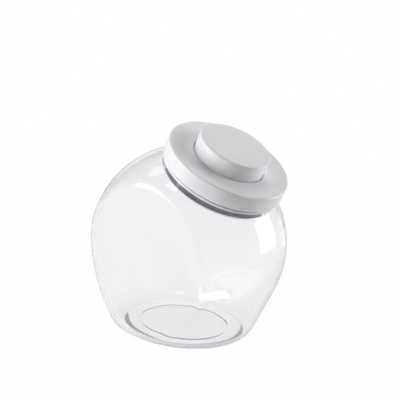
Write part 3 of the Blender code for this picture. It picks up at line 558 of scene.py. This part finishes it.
def jar_surface():
    """Outer skin from the foot's middle to the neck, over the rim, and the inner skin back to the floor."""
    outer_corner = neck_corner(BODY_RADIUS, NECK_RADIUS, NECK_FILLET)
    inner_corner = neck_corner(BODY_RADIUS - JAR_WALL, NECK_RADIUS - NECK_WALL, NECK_FILLET)
    rim = rounded([(NECK_RADIUS, outer_corner[-1][1], 0), (NECK_RADIUS, 0.0, RIM_ROUNDING),
                   (NECK_RADIUS - NECK_WALL, 0.0, RIM_ROUNDING),
                   (NECK_RADIUS - NECK_WALL, inner_corner[-1][1], 0)])
    neck = np.vstack([outer_corner[1:], rim[1:-1], inner_corner[::-1][:-1]])
    neck_rings = turned_rings(neck, JAR_SIDES) + np.array([0.0, 0.0, RIM_REACH])
    neck_rings = neck_rings @ np.array(Matrix.Rotation(MOUTH_TILT, 3, "X")).T
    floor = -FOOT_DROP + JAR_FLOOR
    outer_flat, outer_round, outer_pole = foot_rings(-FOOT_DROP, 0.0, FOOT_ROUNDING, FOOT_STAND)
    inner_flat, inner_round, inner_pole = foot_rings(floor, JAR_WALL, FLOOR_ROUNDING)
    outer_wall = wall_rings(-FOOT_DROP + FOOT_ROUNDING, outer_corner[0][1] + RIM_REACH, 0.0)
    inner_wall = wall_rings(floor + FLOOR_ROUNDING, inner_corner[0][1] + RIM_REACH, JAR_WALL)
    inner = np.concatenate([inner_flat, inner_round, inner_wall])[::-1]
    rings = np.concatenate([outer_flat, outer_round, outer_wall, neck_rings, inner])
    centre = np.array(JAR_CENTRE)
    return skin(rings + centre, outer_pole + centre, inner_pole + centre)


# Materials. A smooth map range starts and ends softly.

SMOOTH = {"interpolation_type": "SMOOTHSTEP"}


def linear(code):
    """An sRGB hex colour as linear RGBA."""
    values = [int(code[place:place + 2], 16) / 255 for place in (1, 3, 5)]
    return tuple(v / 12.92 if v <= 0.04045 else ((v + 0.055) / 1.055) ** 2.4 for v in values) + (1.0,)


def node(tree, kind, links=None, inputs=None, **settings):
    """Adds a shader node: settings are its properties, inputs its values, links what feeds it."""
    made = tree.nodes.new(kind)
    for name, value in settings.items():
        setattr(made, name, value)
    for name, value in (inputs or {}).items():
        made.inputs[name].default_value = value
    for name, source in (links or {}).items():
        tree.links.new(source, made.inputs[name])
    return made


def empty_material(name):
    """A material with only its output node."""
    material = bpy.data.materials.new(name)
    material.use_nodes = True
    tree = material.node_tree
    tree.nodes.clear()
    output = tree.nodes.new("ShaderNodeOutputMaterial")
    return material, tree, output


def clear_copolyester():
    """Clear injection-moulded copolyester: polished mould walls, so it is sharp and bright, bends what is
    behind it, and darkens only where light runs along the wall. Slow waves of the flow wobble it a little.
    Lamps reach what is inside through it, and a ray that the wall has mirrored often goes straight out,
    because one that stays in it would end black."""
    material, tree, output = empty_material("clear_copolyester")
    place = node(tree, "ShaderNodeTexCoord").outputs["Object"]
    flow = node(tree, "ShaderNodeTexNoise", {"Vector": place},
                {"Scale": 1 / FLOW_SIZE, "Detail": 1.0, "Roughness": 0.4})
    bump = node(tree, "ShaderNodeBump", {"Height": flow.outputs["Fac"]},
                {"Strength": 0.006, "Distance": 0.002})
    shader = node(tree, "ShaderNodeBsdfPrincipled", {"Normal": bump.outputs["Normal"]},
                  {"Base Color": linear("#fcfcfd"), "Roughness": 0.0, "IOR": 1.54,
                   "Transmission Weight": 1.0})
    passing = node(tree, "ShaderNodeBsdfTransparent", inputs={"Color": linear("#f8f8fa")})
    path = node(tree, "ShaderNodeLightPath")
    trapped = node(tree, "ShaderNodeMath", {0: path.outputs["Glossy Depth"]}, {1: WALL_MIRRORINGS - 0.5},
                   operation="GREATER_THAN")
    straight = node(tree, "ShaderNodeMath", {0: path.outputs["Is Shadow Ray"], 1: trapped.outputs[0]},
                    operation="MAXIMUM")
    mix = node(tree, "ShaderNodeMixShader",
               {"Fac": straight.outputs[0], 1: shader.outputs["BSDF"], 2: passing.outputs["BSDF"]})
    tree.links.new(mix.outputs["Shader"], output.inputs["Surface"])
    body = node(tree, "ShaderNodeVolumeAbsorption", inputs={"Color": linear("#a4a4aa"), "Density": 3.0})
    tree.links.new(body.outputs["Volume"], output.inputs["Volume"])
    return material


def moulded_plastic(name, colour, shade, roughness, grain, depth):
    """A moulded plastic or rubber: two close shades in soft clouds, and the grain of a spark-eroded mould,
    which spreads its highlights. The real grain is near 0.1 mm, too fine to show, so it is drawn wider."""
    material, tree, output = empty_material(name)
    place = node(tree, "ShaderNodeTexCoord").outputs["Object"]
    clouds = node(tree, "ShaderNodeTexNoise", {"Vector": place},
                  {"Scale": 1 / CLOUD_SIZE, "Detail": 3.0})
    tone = node(tree, "ShaderNodeMix", {"Factor": clouds.outputs["Fac"]}, data_type="RGBA")
    first, second = [socket for socket in tone.inputs if socket.type == "RGBA"]
    first.default_value = linear(colour)
    second.default_value = linear(shade)
    mixed = next(socket for socket in tone.outputs if socket.type == "RGBA")
    grains = node(tree, "ShaderNodeTexNoise", {"Vector": place},
                  {"Scale": 1 / grain, "Detail": 2.0})
    bump = node(tree, "ShaderNodeBump", {"Height": grains.outputs["Fac"]},
                {"Strength": 0.25, "Distance": depth})
    spread = node(tree, "ShaderNodeMapRange", {"Value": grains.outputs["Fac"]},
                  {"To Min": roughness - ROUGHNESS_SPREAD, "To Max": roughness + ROUGHNESS_SPREAD})
    shader = node(tree, "ShaderNodeBsdfPrincipled",
                  {"Base Color": mixed, "Normal": bump.outputs["Normal"],
                   "Roughness": spread.outputs["Result"]}, {"IOR": 1.53})
    tree.links.new(shader.outputs["BSDF"], output.inputs["Surface"])
    return material


def zinc_plated_steel():
    """Bright zinc plate on drawn wire and cold-headed screws: a blue-grey metal with a patchy sheen."""
    material, tree, output = empty_material("zinc_plated_steel")
    place = node(tree, "ShaderNodeTexCoord").outputs["Object"]
    patches = node(tree, "ShaderNodeTexNoise", {"Vector": place},
                   {"Scale": 1 / PATCH_SIZE, "Detail": 3.0})
    spread = node(tree, "ShaderNodeMapRange", {"Value": patches.outputs["Fac"]},
                  {"To Min": 0.2, "To Max": 0.4})
    shader = node(tree, "ShaderNodeBsdfPrincipled", {"Roughness": spread.outputs["Result"]},
                  {"Base Color": linear("#c3c6ca"), "Metallic": 1.0})
    tree.links.new(shader.outputs["BSDF"], output.inputs["Surface"])
    return material


# The lid's pieces, in the lid's frame: the rim's middle at the origin and the mouth's axis upwards.

def spots(count, radius, start):
    """Places a quarter turn apart round the axis."""
    angles = start + np.arange(count) * QUARTER_TURN
    return [(radius * math.cos(angle), radius * math.sin(angle)) for angle in angles]


def lid_cap(white):
    """The cap: band, dished top whose height falls with the sine of the way in, collar round the button's
    hole, and four bosses for its screws."""
    edge = CAP_RADIUS - 2 * CAP_ROUNDING
    hole_edge = HOLE_RADIUS + HOLE_ROUNDING
    slope = [(edge + (hole_edge - edge) * share, CAP_TOP - CAP_DISH * math.sin(share * math.pi / 2), 0)
             for share in np.linspace(0, 1, DISH_STEPS + 1)[1:-1]]
    profile = rounded([
        (CAP_RADIUS - CAP_WALL, CAP_LOW, EDGE_ROUNDING),
        (CAP_RADIUS, CAP_LOW, EDGE_ROUNDING),
        (CAP_RADIUS, CAP_TOP, CAP_ROUNDING),
        *slope,
        (HOLE_RADIUS, DISH, HOLE_ROUNDING),
        (HOLE_RADIUS, DISH - COLLAR_DEPTH, EDGE_ROUNDING),
        (HOLE_RADIUS + CAP_WALL, DISH - COLLAR_DEPTH, EDGE_ROUNDING),
        (HOLE_RADIUS + CAP_WALL, DISH - CAP_WALL, EDGE_ROUNDING),
        (CAP_RADIUS - CAP_WALL, CAP_TOP - CAP_WALL, CAP_ROUNDING),
    ])
    low = CAP_POST_TOP + SEAT_GAP
    places = spots(CAP_SCREWS, CAP_SCREW_RADIUS, CAP_SCREW_START)
    bosses = together([post(CAP_BOSS_RADIUS, low, DISH - CAP_WALL / 2, at) for at in places])
    bores = together([post(CAP_SCREW_HOLE, low - SEAT_GAP, low + SCREW_GRIP + SEAT_GAP, at)
                      for at in places])
    lid_piece("cap_shell", turned(profile), [("UNION", bosses), ("DIFFERENCE", bores)],
              white, "lid", ["lid_cap"])


def button(white):
    """The button: round top, skirt with a notch over each lever, and three bosses for the core's screws."""
    ceiling = BUTTON_TOP - BUTTON_WALL
    inner = BUTTON_RADIUS - BUTTON_WALL
    profile = rounded([
        (0, ceiling, 0),
        (inner, ceiling, EDGE_ROUNDING),
        (inner, SKIRT_LOW, EDGE_ROUNDING),
        (BUTTON_RADIUS, SKIRT_LOW, EDGE_ROUNDING),
        (BUTTON_RADIUS, BUTTON_TOP, BUTTON_ROUNDING),
        (BUTTON_RADIUS / 2, BUTTON_TOP, 0),
        (0, BUTTON_TOP, 0),
    ])
    notch = block((inner - CAP_WALL, -NOTCH_HALF, SKIRT_LOW - CAP_WALL),
                  (BUTTON_RADIUS + CAP_WALL, NOTCH_HALF, NOTCH_TOP))
    places = spots(CORE_SCREWS, CORE_SCREW_RADIUS, CORE_SCREW_START)
    bosses = together([post(CORE_BOSS_RADIUS, CORE_BOSS_LOW, ceiling + BUTTON_WALL / 2, at)
                       for at in places])
    bores = together([post(CORE_SCREW_HOLE, CORE_BOSS_LOW - SEAT_GAP, CORE_BOSS_LOW + SCREW_GRIP, at)
                      for at in places])
    lid_piece("button_shell", turned(profile),
              [("DIFFERENCE", quarters(notch)), ("UNION", bosses), ("DIFFERENCE", bores)],
              white, "button", ["button_cap"])


def lever_seats(bottom, floor):
    """For each lever two ears with the pin's hole, and the window that a lug of the seal passes. Gives the
    shapes to add and those to cut away."""
    sink = FRAME_FLOOR / 2
    ears = []
    for side in (-1, 1):
        near, far = sorted((side * EAR_INNER, side * (EAR_INNER + EAR_THICKNESS)))
        low = (LEVER_PIVOT_RADIUS - EAR_HALF_WIDTH, near, floor - sink)
        high = (LEVER_PIVOT_RADIUS + EAR_HALF_WIDTH, far, LEVER_PIVOT_HEIGHT + EAR_HALF_WIDTH)
        ears.append(block(low, high, top_rounding=EAR_ROUNDING))
    pivot = Matrix.Translation((LEVER_PIVOT_RADIUS, 0, LEVER_PIVOT_HEIGHT))
    hole = moved(post(PIN_HOLE, -LUG_WIDTH, LUG_WIDTH), pivot @ Matrix.Rotation(QUARTER_TURN, 4, "X"))
    reach = LUG_THICKNESS / 2 + SEAT_GAP
    window = block((LUG_PLACE - reach, -LUG_WIDTH / 2 - SEAT_GAP, bottom - sink),
                   (LUG_PLACE + reach, LUG_WIDTH / 2 + SEAT_GAP, floor + sink))
    turns = [around(number * QUARTER_TURN) for number in range(LEVERS)]
    added = [moved(ear, turn) for turn in turns for ear in ears]
    removed = [moved(tool, turn) for turn in turns for tool in (hole, window)]
    return added, removed


def wire_bracket(floor):
    """The latch wire's bracket, and the bar that cuts the wire's hole."""
    middle = floor + WIRE_HEIGHT
    bracket = block((BRACKET_PLACE - BRACKET_LENGTH / 2, -BRACKET_WIDTH / 2, floor - FRAME_FLOOR / 2),
                    (BRACKET_PLACE + BRACKET_LENGTH / 2, BRACKET_WIDTH / 2, middle + BRACKET_WIDTH / 2))
    lying = Matrix.Translation((BRACKET_PLACE, 0, middle)) @ Matrix.Rotation(QUARTER_TURN, 4, "Y")
    turn = around(CAP_SCREW_START)
    bore = moved(post(WIRE_HOLE, -BRACKET_LENGTH, BRACKET_LENGTH), turn @ lying)
    return moved(bracket, turn), bore


def lid_frame(white):
    """The frame: creased lip, wall, floor and hollow post, with seats for the levers, tubes for the cap's
    screws and a bracket for the latch wire."""
    bottom, _ = lid_extent("lid_frame")
    floor = bottom + FRAME_FLOOR
    inner = FRAME_WALL_RADIUS - FRAME_WALL
    lip_top = SEAT_GAP + LIP_HEIGHT
    profile = rounded([
        (0, POST_TOP - POST_WALL, 0),
        (POST_RADIUS - POST_WALL, POST_TOP - POST_WALL, EDGE_ROUNDING),
        (POST_RADIUS - POST_WALL, bottom, EDGE_ROUNDING),
        (FRAME_WALL_RADIUS - FRAME_CHAMFER, bottom, EDGE_ROUNDING),
        (FRAME_WALL_RADIUS, bottom + FRAME_CHAMFER_HEIGHT, EDGE_ROUNDING),
        (FRAME_WALL_RADIUS, SEAT_GAP, 0),
        (LIP_RADIUS, SEAT_GAP, EDGE_ROUNDING),
        (LIP_RADIUS, lip_top - LIP_CREASE, EDGE_ROUNDING),
        (LIP_RADIUS - LIP_CREASE_DEPTH, lip_top - LIP_CREASE, 0),
        (LIP_RADIUS - LIP_CREASE_DEPTH, lip_top, 0),
        (inner, lip_top, EDGE_ROUNDING),
        (inner, floor, EDGE_ROUNDING),
        (POST_RADIUS, floor, EDGE_ROUNDING),
        (POST_RADIUS, POST_TOP, EDGE_ROUNDING),
        (0, POST_TOP, 0),
    ])
    sink = FRAME_FLOOR / 2
    added, removed = lever_seats(bottom, floor)
    places = spots(CAP_SCREWS, CAP_SCREW_RADIUS, CAP_SCREW_START)
    bracket, bore = wire_bracket(floor)
    added += [post(CAP_POST_RADIUS, floor - sink, CAP_POST_TOP, at) for at in places] + [bracket]
    removed.append(bore)
    heads = [post(CAP_HEAD_HOLE, bottom - sink, 0.0, at) for at in places]
    shanks = [post(CAP_SCREW_HOLE, -sink, CAP_POST_TOP + sink, at) for at in places]
    lid_piece("frame_shell", turned(profile),
              [("UNION", together(added)), ("DIFFERENCE", together(removed)),
               ("DIFFERENCE", together(heads)), ("DIFFERENCE", together(shanks))],
              white, "lid", ["lid_frame"])


def seal_tray(white):
    """The tray that squeezes the gasket: floor, leaning wall, flange, and a slotted lug for each lever."""
    low, _ = lid_extent("seal_plate")
    bottom, _ = lid_extent("lid_frame")
    top = -GASKET_HEIGHT - SEAT_GAP
    travel = bottom - SEAT_GAP - (low + SEAL_WALL)
    slope_low = bottom + FRAME_CHAMFER_HEIGHT - travel - SEAT_GAP
    inner = FRAME_WALL_RADIUS + SEAT_GAP
    lean = SEAL_WALL / 2
    profile = rounded([
        (0, low, 0),
        (FRAME_WALL_RADIUS - FRAME_CHAMFER + lean, low, LUG_ROUNDING),
        (inner + SEAL_WALL, slope_low - lean, LUG_ROUNDING),
        (inner + SEAL_WALL, top - SEAL_FLANGE, EDGE_ROUNDING),
        (SEAL_FLANGE_RADIUS, top - SEAL_FLANGE, EDGE_ROUNDING),
        (SEAL_FLANGE_RADIUS, top, EDGE_ROUNDING),
        (inner, top, EDGE_ROUNDING),
        (inner, slope_low, EDGE_ROUNDING),
        (FRAME_WALL_RADIUS - FRAME_CHAMFER + SEAT_GAP, low + SEAL_WALL, EDGE_ROUNDING),
        (0, low + SEAL_WALL, 0),
    ])
    upright = Matrix.Translation((LUG_PLACE, 0, 0)) @ around(QUARTER_TURN)
    half = LUG_THICKNESS / 2
    lug = block((-LUG_WIDTH / 2, -half, low + SEAL_WALL / 2), (LUG_WIDTH / 2, half, SLOT_HIGH + LUG_TOP),
                top_rounding=LUG_ROUNDING)
    slot = block((-SLOT_HALF, -2 * half, SLOT_LOW), (SLOT_HALF, 2 * half, SLOT_HIGH),
                 EDGE_ROUNDING, EDGE_ROUNDING)
    lid_piece("seal_tray", turned(profile),
              [("UNION", quarters(moved(lug, upright))), ("DIFFERENCE", quarters(moved(slot, upright)))],
              white, "seal", ["seal_plate"])


def gasket_ring(silicone):
    """The gasket: a ring with rounded outer edges."""
    inner = FRAME_WALL_RADIUS + SEAT_GAP
    outer = NECK_RADIUS - NECK_WALL - GASKET_BORE_GAP
    profile = rounded([
        (inner, -GASKET_HEIGHT, EDGE_ROUNDING),
        (outer, -GASKET_HEIGHT, GASKET_ROUNDING),
        (outer, 0.0, GASKET_ROUNDING),
        (inner, 0.0, EDGE_ROUNDING),
    ])
    piece = lid_piece("gasket_ring", turned(profile), [], silicone, "lid", ["gasket"])
    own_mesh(piece)


def spring_coil(steel):
    """The button's spring: a circle carried along a helix whose first and last turns lie nearly flat."""
    low, high = lid_extent("spring")
    floor = lid_extent("lid_frame")[0] + FRAME_FLOOR
    turns = np.linspace(0, SPRING_TURNS, SPRING_TURNS * TURN_STEPS + 1)
    length = high - low - 2 * SPRING_WIRE
    rise = np.interp(turns, [0, 1, SPRING_TURNS - 1, SPRING_TURNS],
                     [0, SPRING_CLOSED_RISE, length - SPRING_CLOSED_RISE, length])
    angles = 2 * math.pi * turns
    outward = np.stack([np.cos(angles), np.sin(angles), 0 * angles], axis=-1)
    upward = np.array([0.0, 0.0, 1.0])
    middles = outward * SPRING_RADIUS + np.outer(low + SPRING_WIRE + rise, upward)
    circle = full_turn(WIRE_SIDES)
    rings = (middles[:, None, :] + SPRING_WIRE * (np.cos(circle)[None, :, None] * outward[:, None, :]
                                                  + np.sin(circle)[None, :, None] * upward))
    piece = lid_piece("spring_coil", skin(rings, middles[0], middles[-1]), [], steel, "lid",
                      ["spring"])
    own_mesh(piece)


# Floor, light and camera.

def mirrored_rays(tree, path):
    """1 for a ray that a surface mirrored, and 0 for others. A ray that the jar bent counts as glossy as
    well, so this is glossy - passing, and not under 0."""
    glossy, passing = path.outputs["Is Glossy Ray"], path.outputs["Is Transmission Ray"]
    share = node(tree, "ShaderNodeMath", {0: glossy, 1: passing}, operation="SUBTRACT", use_clamp=True)
    return share.outputs[0]


def dark_flag(tree, direction):
    """How dark the room is in a direction: a soft-edged zone that the near flat side looks out on."""
    toward = node(tree, "ShaderNodeVectorMath", {0: direction}, {1: (-1.0, 0.0, 0.0)},
                  operation="DOT_PRODUCT")
    zone = node(tree, "ShaderNodeMapRange", {"Value": toward.outputs["Value"]},
                {"From Min": FLAG_EDGE, "From Max": FLAG_MIDDLE, "To Max": FLAG_DEPTH}, **SMOOTH)
    return zone.outputs["Result"]


def white_through_jar(tree, place):
    """White share of the floor for rays that the jar bends, by the distance from the foot's middle in half
    sizes of the foot: all white under the foot, the contact shadow just outside it on the camera's side,
    then even."""
    back, _, _ = camera_directions()
    middle = (0.0, JAR_CENTRE.y + FOOT_SHIFT + FOOT_RING_SHIFT, -FLOOR_GAP)
    aside = node(tree, "ShaderNodeVectorMath", {0: place}, {1: middle}, operation="SUBTRACT")
    offset = node(tree, "ShaderNodeVectorMath", {0: aside.outputs["Vector"]},
                  {1: (FOOT_HALF_WIDTH, FOOT_HALF_DEPTH, 1.0)}, operation="DIVIDE")
    distance = node(tree, "ShaderNodeVectorMath", {0: offset.outputs["Vector"]}, operation="LENGTH")
    toward = node(tree, "ShaderNodeVectorMath", {0: offset.outputs["Vector"]}, {1: (back.x, back.y, 0.0)},
                  operation="DOT_PRODUCT")
    dark = node(tree, "ShaderNodeMapRange", {"Value": toward.outputs["Value"]},
                {"From Min": CONTACT_FRONT, "From Max": 1.0, "To Min": FLOOR_LIFT_THROUGH,
                 "To Max": FLOOR_LIFT_THROUGH - CONTACT_DEPTH}, **SMOOTH)
    inside = node(tree, "ShaderNodeMapRange",
                  {"Value": distance.outputs["Value"], "To Max": dark.outputs["Result"]},
                  {"From Min": CONTACT_START, "From Max": CONTACT_PEAK, "To Min": 1.0}, **SMOOTH)
    share = node(tree, "ShaderNodeMapRange",
                 {"Value": distance.outputs["Value"], "To Min": inside.outputs["Result"]},
                 {"From Min": CONTACT_PEAK, "From Max": CONTACT_END, "To Max": FLOOR_LIFT_THROUGH},
                 **SMOOTH)
    return share.outputs["Result"]


def pale_floor_paint():
    """Matt paint that carries the shadow, mixed with plain white by a share that depends on the ray: to the
    camera near + (1 - near) * rise, through the jar as white_through_jar gives it, and a small one to
    mirrored rays. Further out, the mirrored floor goes dark in the flag's direction."""
    material, tree, output = empty_material("pale_floor")
    path = node(tree, "ShaderNodeLightPath")
    mirrored = mirrored_rays(tree, path)
    place = node(tree, "ShaderNodeTexCoord").outputs["Object"]
    reach = node(tree, "ShaderNodeVectorMath", {0: place}, operation="LENGTH")
    rise = node(tree, "ShaderNodeMapRange", {"Value": reach.outputs["Value"]},
                {"From Min": SHADOW_REACH, "From Max": SHADOW_END, "To Min": FLOOR_LIFT, "To Max": 1.0},
                **SMOOTH)
    share = node(tree, "ShaderNodeMath", {0: path.outputs["Is Camera Ray"], 1: rise.outputs["Result"]},
                 operation="MULTIPLY")
    share = node(tree, "ShaderNodeMath",
                 {0: path.outputs["Is Transmission Ray"], 1: white_through_jar(tree, place),
                  2: share.outputs[0]}, operation="MULTIPLY_ADD")
    share = node(tree, "ShaderNodeMath", {0: mirrored, 2: share.outputs[0]}, {1: FLOOR_LIFT_MIRRORED},
                 operation="MULTIPLY_ADD")
    glow = node(tree, "ShaderNodeEmission", inputs={"Color": linear(WHITE), "Strength": 1.0})
    paint = node(tree, "ShaderNodeBsdfDiffuse", inputs={"Color": linear(FLOOR_COLOUR)})
    both = node(tree, "ShaderNodeMixShader",
                {"Fac": share.outputs[0], 1: paint.outputs[0], 2: glow.outputs[0]})
    outward = node(tree, "ShaderNodeVectorMath", {0: place}, operation="NORMALIZE")
    far = node(tree, "ShaderNodeMapRange", {"Value": reach.outputs["Value"], "To Max": mirrored},
               {"From Min": FLAG_REACH, "From Max": FLAG_END}, **SMOOTH)
    flag = node(tree, "ShaderNodeMath",
                {0: far.outputs["Result"], 1: dark_flag(tree, outward.outputs["Vector"])},
                operation="MULTIPLY")
    shown = node(tree, "ShaderNodeMixShader", {"Fac": flag.outputs[0], 1: both.outputs[0]})
    tree.links.new(shown.outputs[0], output.inputs["Surface"])
    return material


def stage_set():
    """A large square floor just under the jar."""
    mesh = bpy.data.meshes.new("floor")
    corners = [(x * FLOOR_REACH, y * FLOOR_REACH, -FLOOR_GAP)
               for x, y in ((-1, -1), (1, -1), (1, 1), (-1, 1))]
    mesh.from_pydata(corners, [], [(0, 1, 2, 3)])
    mesh.materials.append(pale_floor_paint())
    floor = new_object("floor", mesh)


def surroundings():
    """The room: white to the camera. In mirrors and through the jar there is a white backdrop behind it, up
    to a height, and a dim room elsewhere, which is lighter near the horizon through the jar and dark in
    mirrors where the flag is. Other rays meet an even fill."""
    back, _, _ = camera_directions()
    world = bpy.data.worlds.new("studio")
    bpy.context.scene.world = world
    world.use_nodes = True
    tree = world.node_tree
    tree.nodes.clear()
    output = tree.nodes.new("ShaderNodeOutputWorld")
    path = node(tree, "ShaderNodeLightPath")
    direction = node(tree, "ShaderNodeTexCoord").outputs["Generated"]
    parts = node(tree, "ShaderNodeSeparateXYZ", {"Vector": direction})
    low = node(tree, "ShaderNodeMapRange", {"Value": parts.outputs["Z"]},
               {"From Min": BACKDROP_TOP, "From Max": CEILING_START, "To Min": 1.0, "To Max": 0.0},
               **SMOOTH)
    facing = node(tree, "ShaderNodeVectorMath", {0: direction}, {1: (-back.x, -back.y, 0.0)},
                  operation="DOT_PRODUCT")
    behind = node(tree, "ShaderNodeMapRange", {"Value": facing.outputs["Value"]},
                  {"From Min": BACKDROP_SIDE, "From Max": BACKDROP_EDGE}, **SMOOTH)
    backdrop = node(tree, "ShaderNodeMath", {0: low.outputs["Result"], 1: behind.outputs["Result"]},
                    operation="MULTIPLY")
    horizon = node(tree, "ShaderNodeMapRange", {"Value": path.outputs["Is Transmission Ray"]},
                   {"To Min": ROOM_LIGHT, "To Max": HORIZON_LIGHT})
    dim = node(tree, "ShaderNodeMapRange",
               {"Value": parts.outputs["Z"], "To Min": horizon.outputs["Result"]},
               {"From Max": ROOM_TOP, "To Max": ROOM_LIGHT}, **SMOOTH)
    strength = node(tree, "ShaderNodeMath", {0: backdrop.outputs[0], 1: dim.outputs["Result"]},
                    operation="MAXIMUM")
    flag = node(tree, "ShaderNodeMath", {0: mirrored_rays(tree, path), 1: dark_flag(tree, direction)},
                operation="MULTIPLY")
    lit = node(tree, "ShaderNodeMath", {1: flag.outputs[0]}, {0: 1.0}, operation="SUBTRACT")
    strength = node(tree, "ShaderNodeMath", {0: strength.outputs[0], 1: lit.outputs[0]},
                    operation="MULTIPLY")
    room = node(tree, "ShaderNodeBackground", {"Strength": strength.outputs[0]}, {"Color": linear(WHITE)})
    fill = node(tree, "ShaderNodeBackground", inputs={"Color": linear(WHITE), "Strength": FILL_LIGHT})
    plain = node(tree, "ShaderNodeBackground", inputs={"Color": linear(WHITE), "Strength": 1.0})
    bent = node(tree, "ShaderNodeMath",
                {0: path.outputs["Is Glossy Ray"], 1: path.outputs["Is Transmission Ray"]},
                operation="MAXIMUM")
    unseen = node(tree, "ShaderNodeMixShader",
                  {"Fac": bent.outputs[0], 1: fill.outputs[0], 2: room.outputs[0]})
    mix = node(tree, "ShaderNodeMixShader",
               {"Fac": path.outputs["Is Camera Ray"], 1: unseen.outputs[0], 2: plain.outputs[0]})
    tree.links.new(mix.outputs[0], output.inputs["Surface"])


def lamp(name, width, length, radiance, mirrored=True, passing=True, lighting=True):
    """A rectangular area lamp of power = radiance * pi * area, which the camera never sees. It may show in
    mirrors, show through the jar, and light matt surfaces."""
    light = bpy.data.lights.new(name, "AREA")
    light.shape = "RECTANGLE"
    light.size = width
    light.size_y = length
    light.energy = radiance * math.pi * width * length
    thing = new_object(name, light)
    thing.visible_camera = False
    thing.visible_glossy = mirrored
    thing.visible_transmission = passing
    thing.visible_diffuse = lighting
    return thing


def softbox(name, azimuth, elevation, distance, width, height, radiance, **shows):
    """A lamp that faces the jar. Its azimuth and elevation are angles in the photo camera's terms: the
    camera is at (0, 0), and negative azimuths lie to its left. Width and height are angles as well, seen
    from the jar, so that size = 2 * distance * tan(angle / 2)."""
    back, across, upward = camera_directions()
    azimuth, elevation = math.radians(azimuth), math.radians(elevation)
    level = across * math.sin(azimuth) + back * math.cos(azimuth)
    direction = level * math.cos(elevation) + upward * math.sin(elevation)
    sizes = [2 * distance * math.tan(math.radians(angle) / 2) for angle in (width, height)]
    thing = lamp(name, *sizes, radiance, **shows)
    thing.location = JAR_CENTRE + direction * distance
    thing.rotation_euler = direction.to_track_quat("Z", "Y").to_euler()


def studio_lamps():
    """Three banks and a fill that only light matt surfaces, strips and small boxes that the jar mirrors,
    and the floor's glint. The right strip shows in mirrors alone, and the fill stands behind it, because
    two lamps in one place hide each other."""
    softbox("left_bank", azimuth=-68, elevation=16, distance=3.0, width=30, height=46, radiance=6.9,
            mirrored=False, passing=False)
    softbox("right_bank", azimuth=94, elevation=13, distance=3.0, width=36, height=36, radiance=5.2,
            mirrored=False, passing=False)
    softbox("top_bank", azimuth=160, elevation=63, distance=3.0, width=36, height=30, radiance=4.8,
            mirrored=False, passing=False)
    softbox("left_strip", azimuth=-76, elevation=1, distance=1.2, width=14, height=30, radiance=2.4)
    softbox("right_fill", azimuth=95, elevation=2, distance=0.8, width=28, height=34, radiance=1.9,
            mirrored=False, passing=False)
    softbox("right_strip", azimuth=95, elevation=2, distance=0.6, width=28, height=34, radiance=3.4,
            passing=False, lighting=False)
    softbox("neck_glint", azimuth=-30, elevation=62, distance=0.8, width=12, height=8, radiance=4.0)
    softbox("shoulder_glint", azimuth=-104, elevation=65, distance=0.8, width=12, height=12, radiance=1.0)
    glint = lamp("floor_glint", GLINT_WIDTH, GLINT_LENGTH, GLINT_RADIANCE, passing=False, lighting=False)
    glint.location = GLINT_PLACE
    glint.rotation_euler = (math.pi, 0.0, GLINT_TURN)


def camera_directions():
    """Directions towards the photo's camera, to its right and up in its picture."""
    back = Vector((math.sin(CAMERA_AZIMUTH) * math.cos(CAMERA_ELEVATION),
                   -math.cos(CAMERA_AZIMUTH) * math.cos(CAMERA_ELEVATION), math.sin(CAMERA_ELEVATION)))
    across = Vector((math.cos(CAMERA_AZIMUTH), math.sin(CAMERA_AZIMUTH), 0.0))
    return back, across, back.cross(across)


def photo_camera():
    """The camera that was fitted to the photo."""
    back, across, upward = camera_directions()
    data = bpy.data.cameras.new("photo_camera")
    data.sensor_width = SENSOR_WIDTH
    data.lens = CAMERA_FOCUS_PIXELS * data.sensor_width / PHOTO_PIXELS
    data.clip_start = CLIP_START
    camera = new_object("photo_camera", data)
    place = JAR_CENTRE + back * CAMERA_DISTANCE + across * CAMERA_RIGHT + upward * CAMERA_UP
    camera.matrix_world = Matrix.Translation(place) @ Matrix((across, upward, back)).transposed().to_4x4()
    bpy.context.scene.camera = camera


# The jar, the lid, the solids that stay, and the studio.

bpy.context.scene.view_settings.view_transform = "Standard"
photo_camera()
glass = clear_copolyester()
white = moulded_plastic("white_abs", "#ececee", "#e6e6e9", roughness=0.30, grain=0.0005, depth=0.00002)
nylon = moulded_plastic("natural_nylon", "#e4e1d6", "#d9d5c8", roughness=0.45, grain=0.0007, depth=0.00003)
silicone = moulded_plastic("grey_silicone", "#5b6166", "#555b60", roughness=0.55, grain=0.0004,
                           depth=0.00003)
steel = zinc_plated_steel()
place_piece("jar_glass", mesh_of("jar_glass", jar_surface()), glass, "jar", ["jar_body"],
            JAR_SHARP_ANGLE)
lid_cap(white)
button(white)
lid_frame(white)
seal_tray(white)
gasket_ring(silicone)
spring_coil(steel)
finishes = {"white_plastic": white, "natural_nylon": nylon, "grey_silicone": silicone, "zinc_steel": steel,
            "clear_plastic": glass}
slots = {part["node"]: part["material_slot"] for part in frame["record"]["subparts"]}
for name, solid in frame["nodes"].items():
    solid.data.materials.clear()
    solid.data.materials.append(finishes[slots[name]])
stage_set()
surroundings()
studio_lamps()
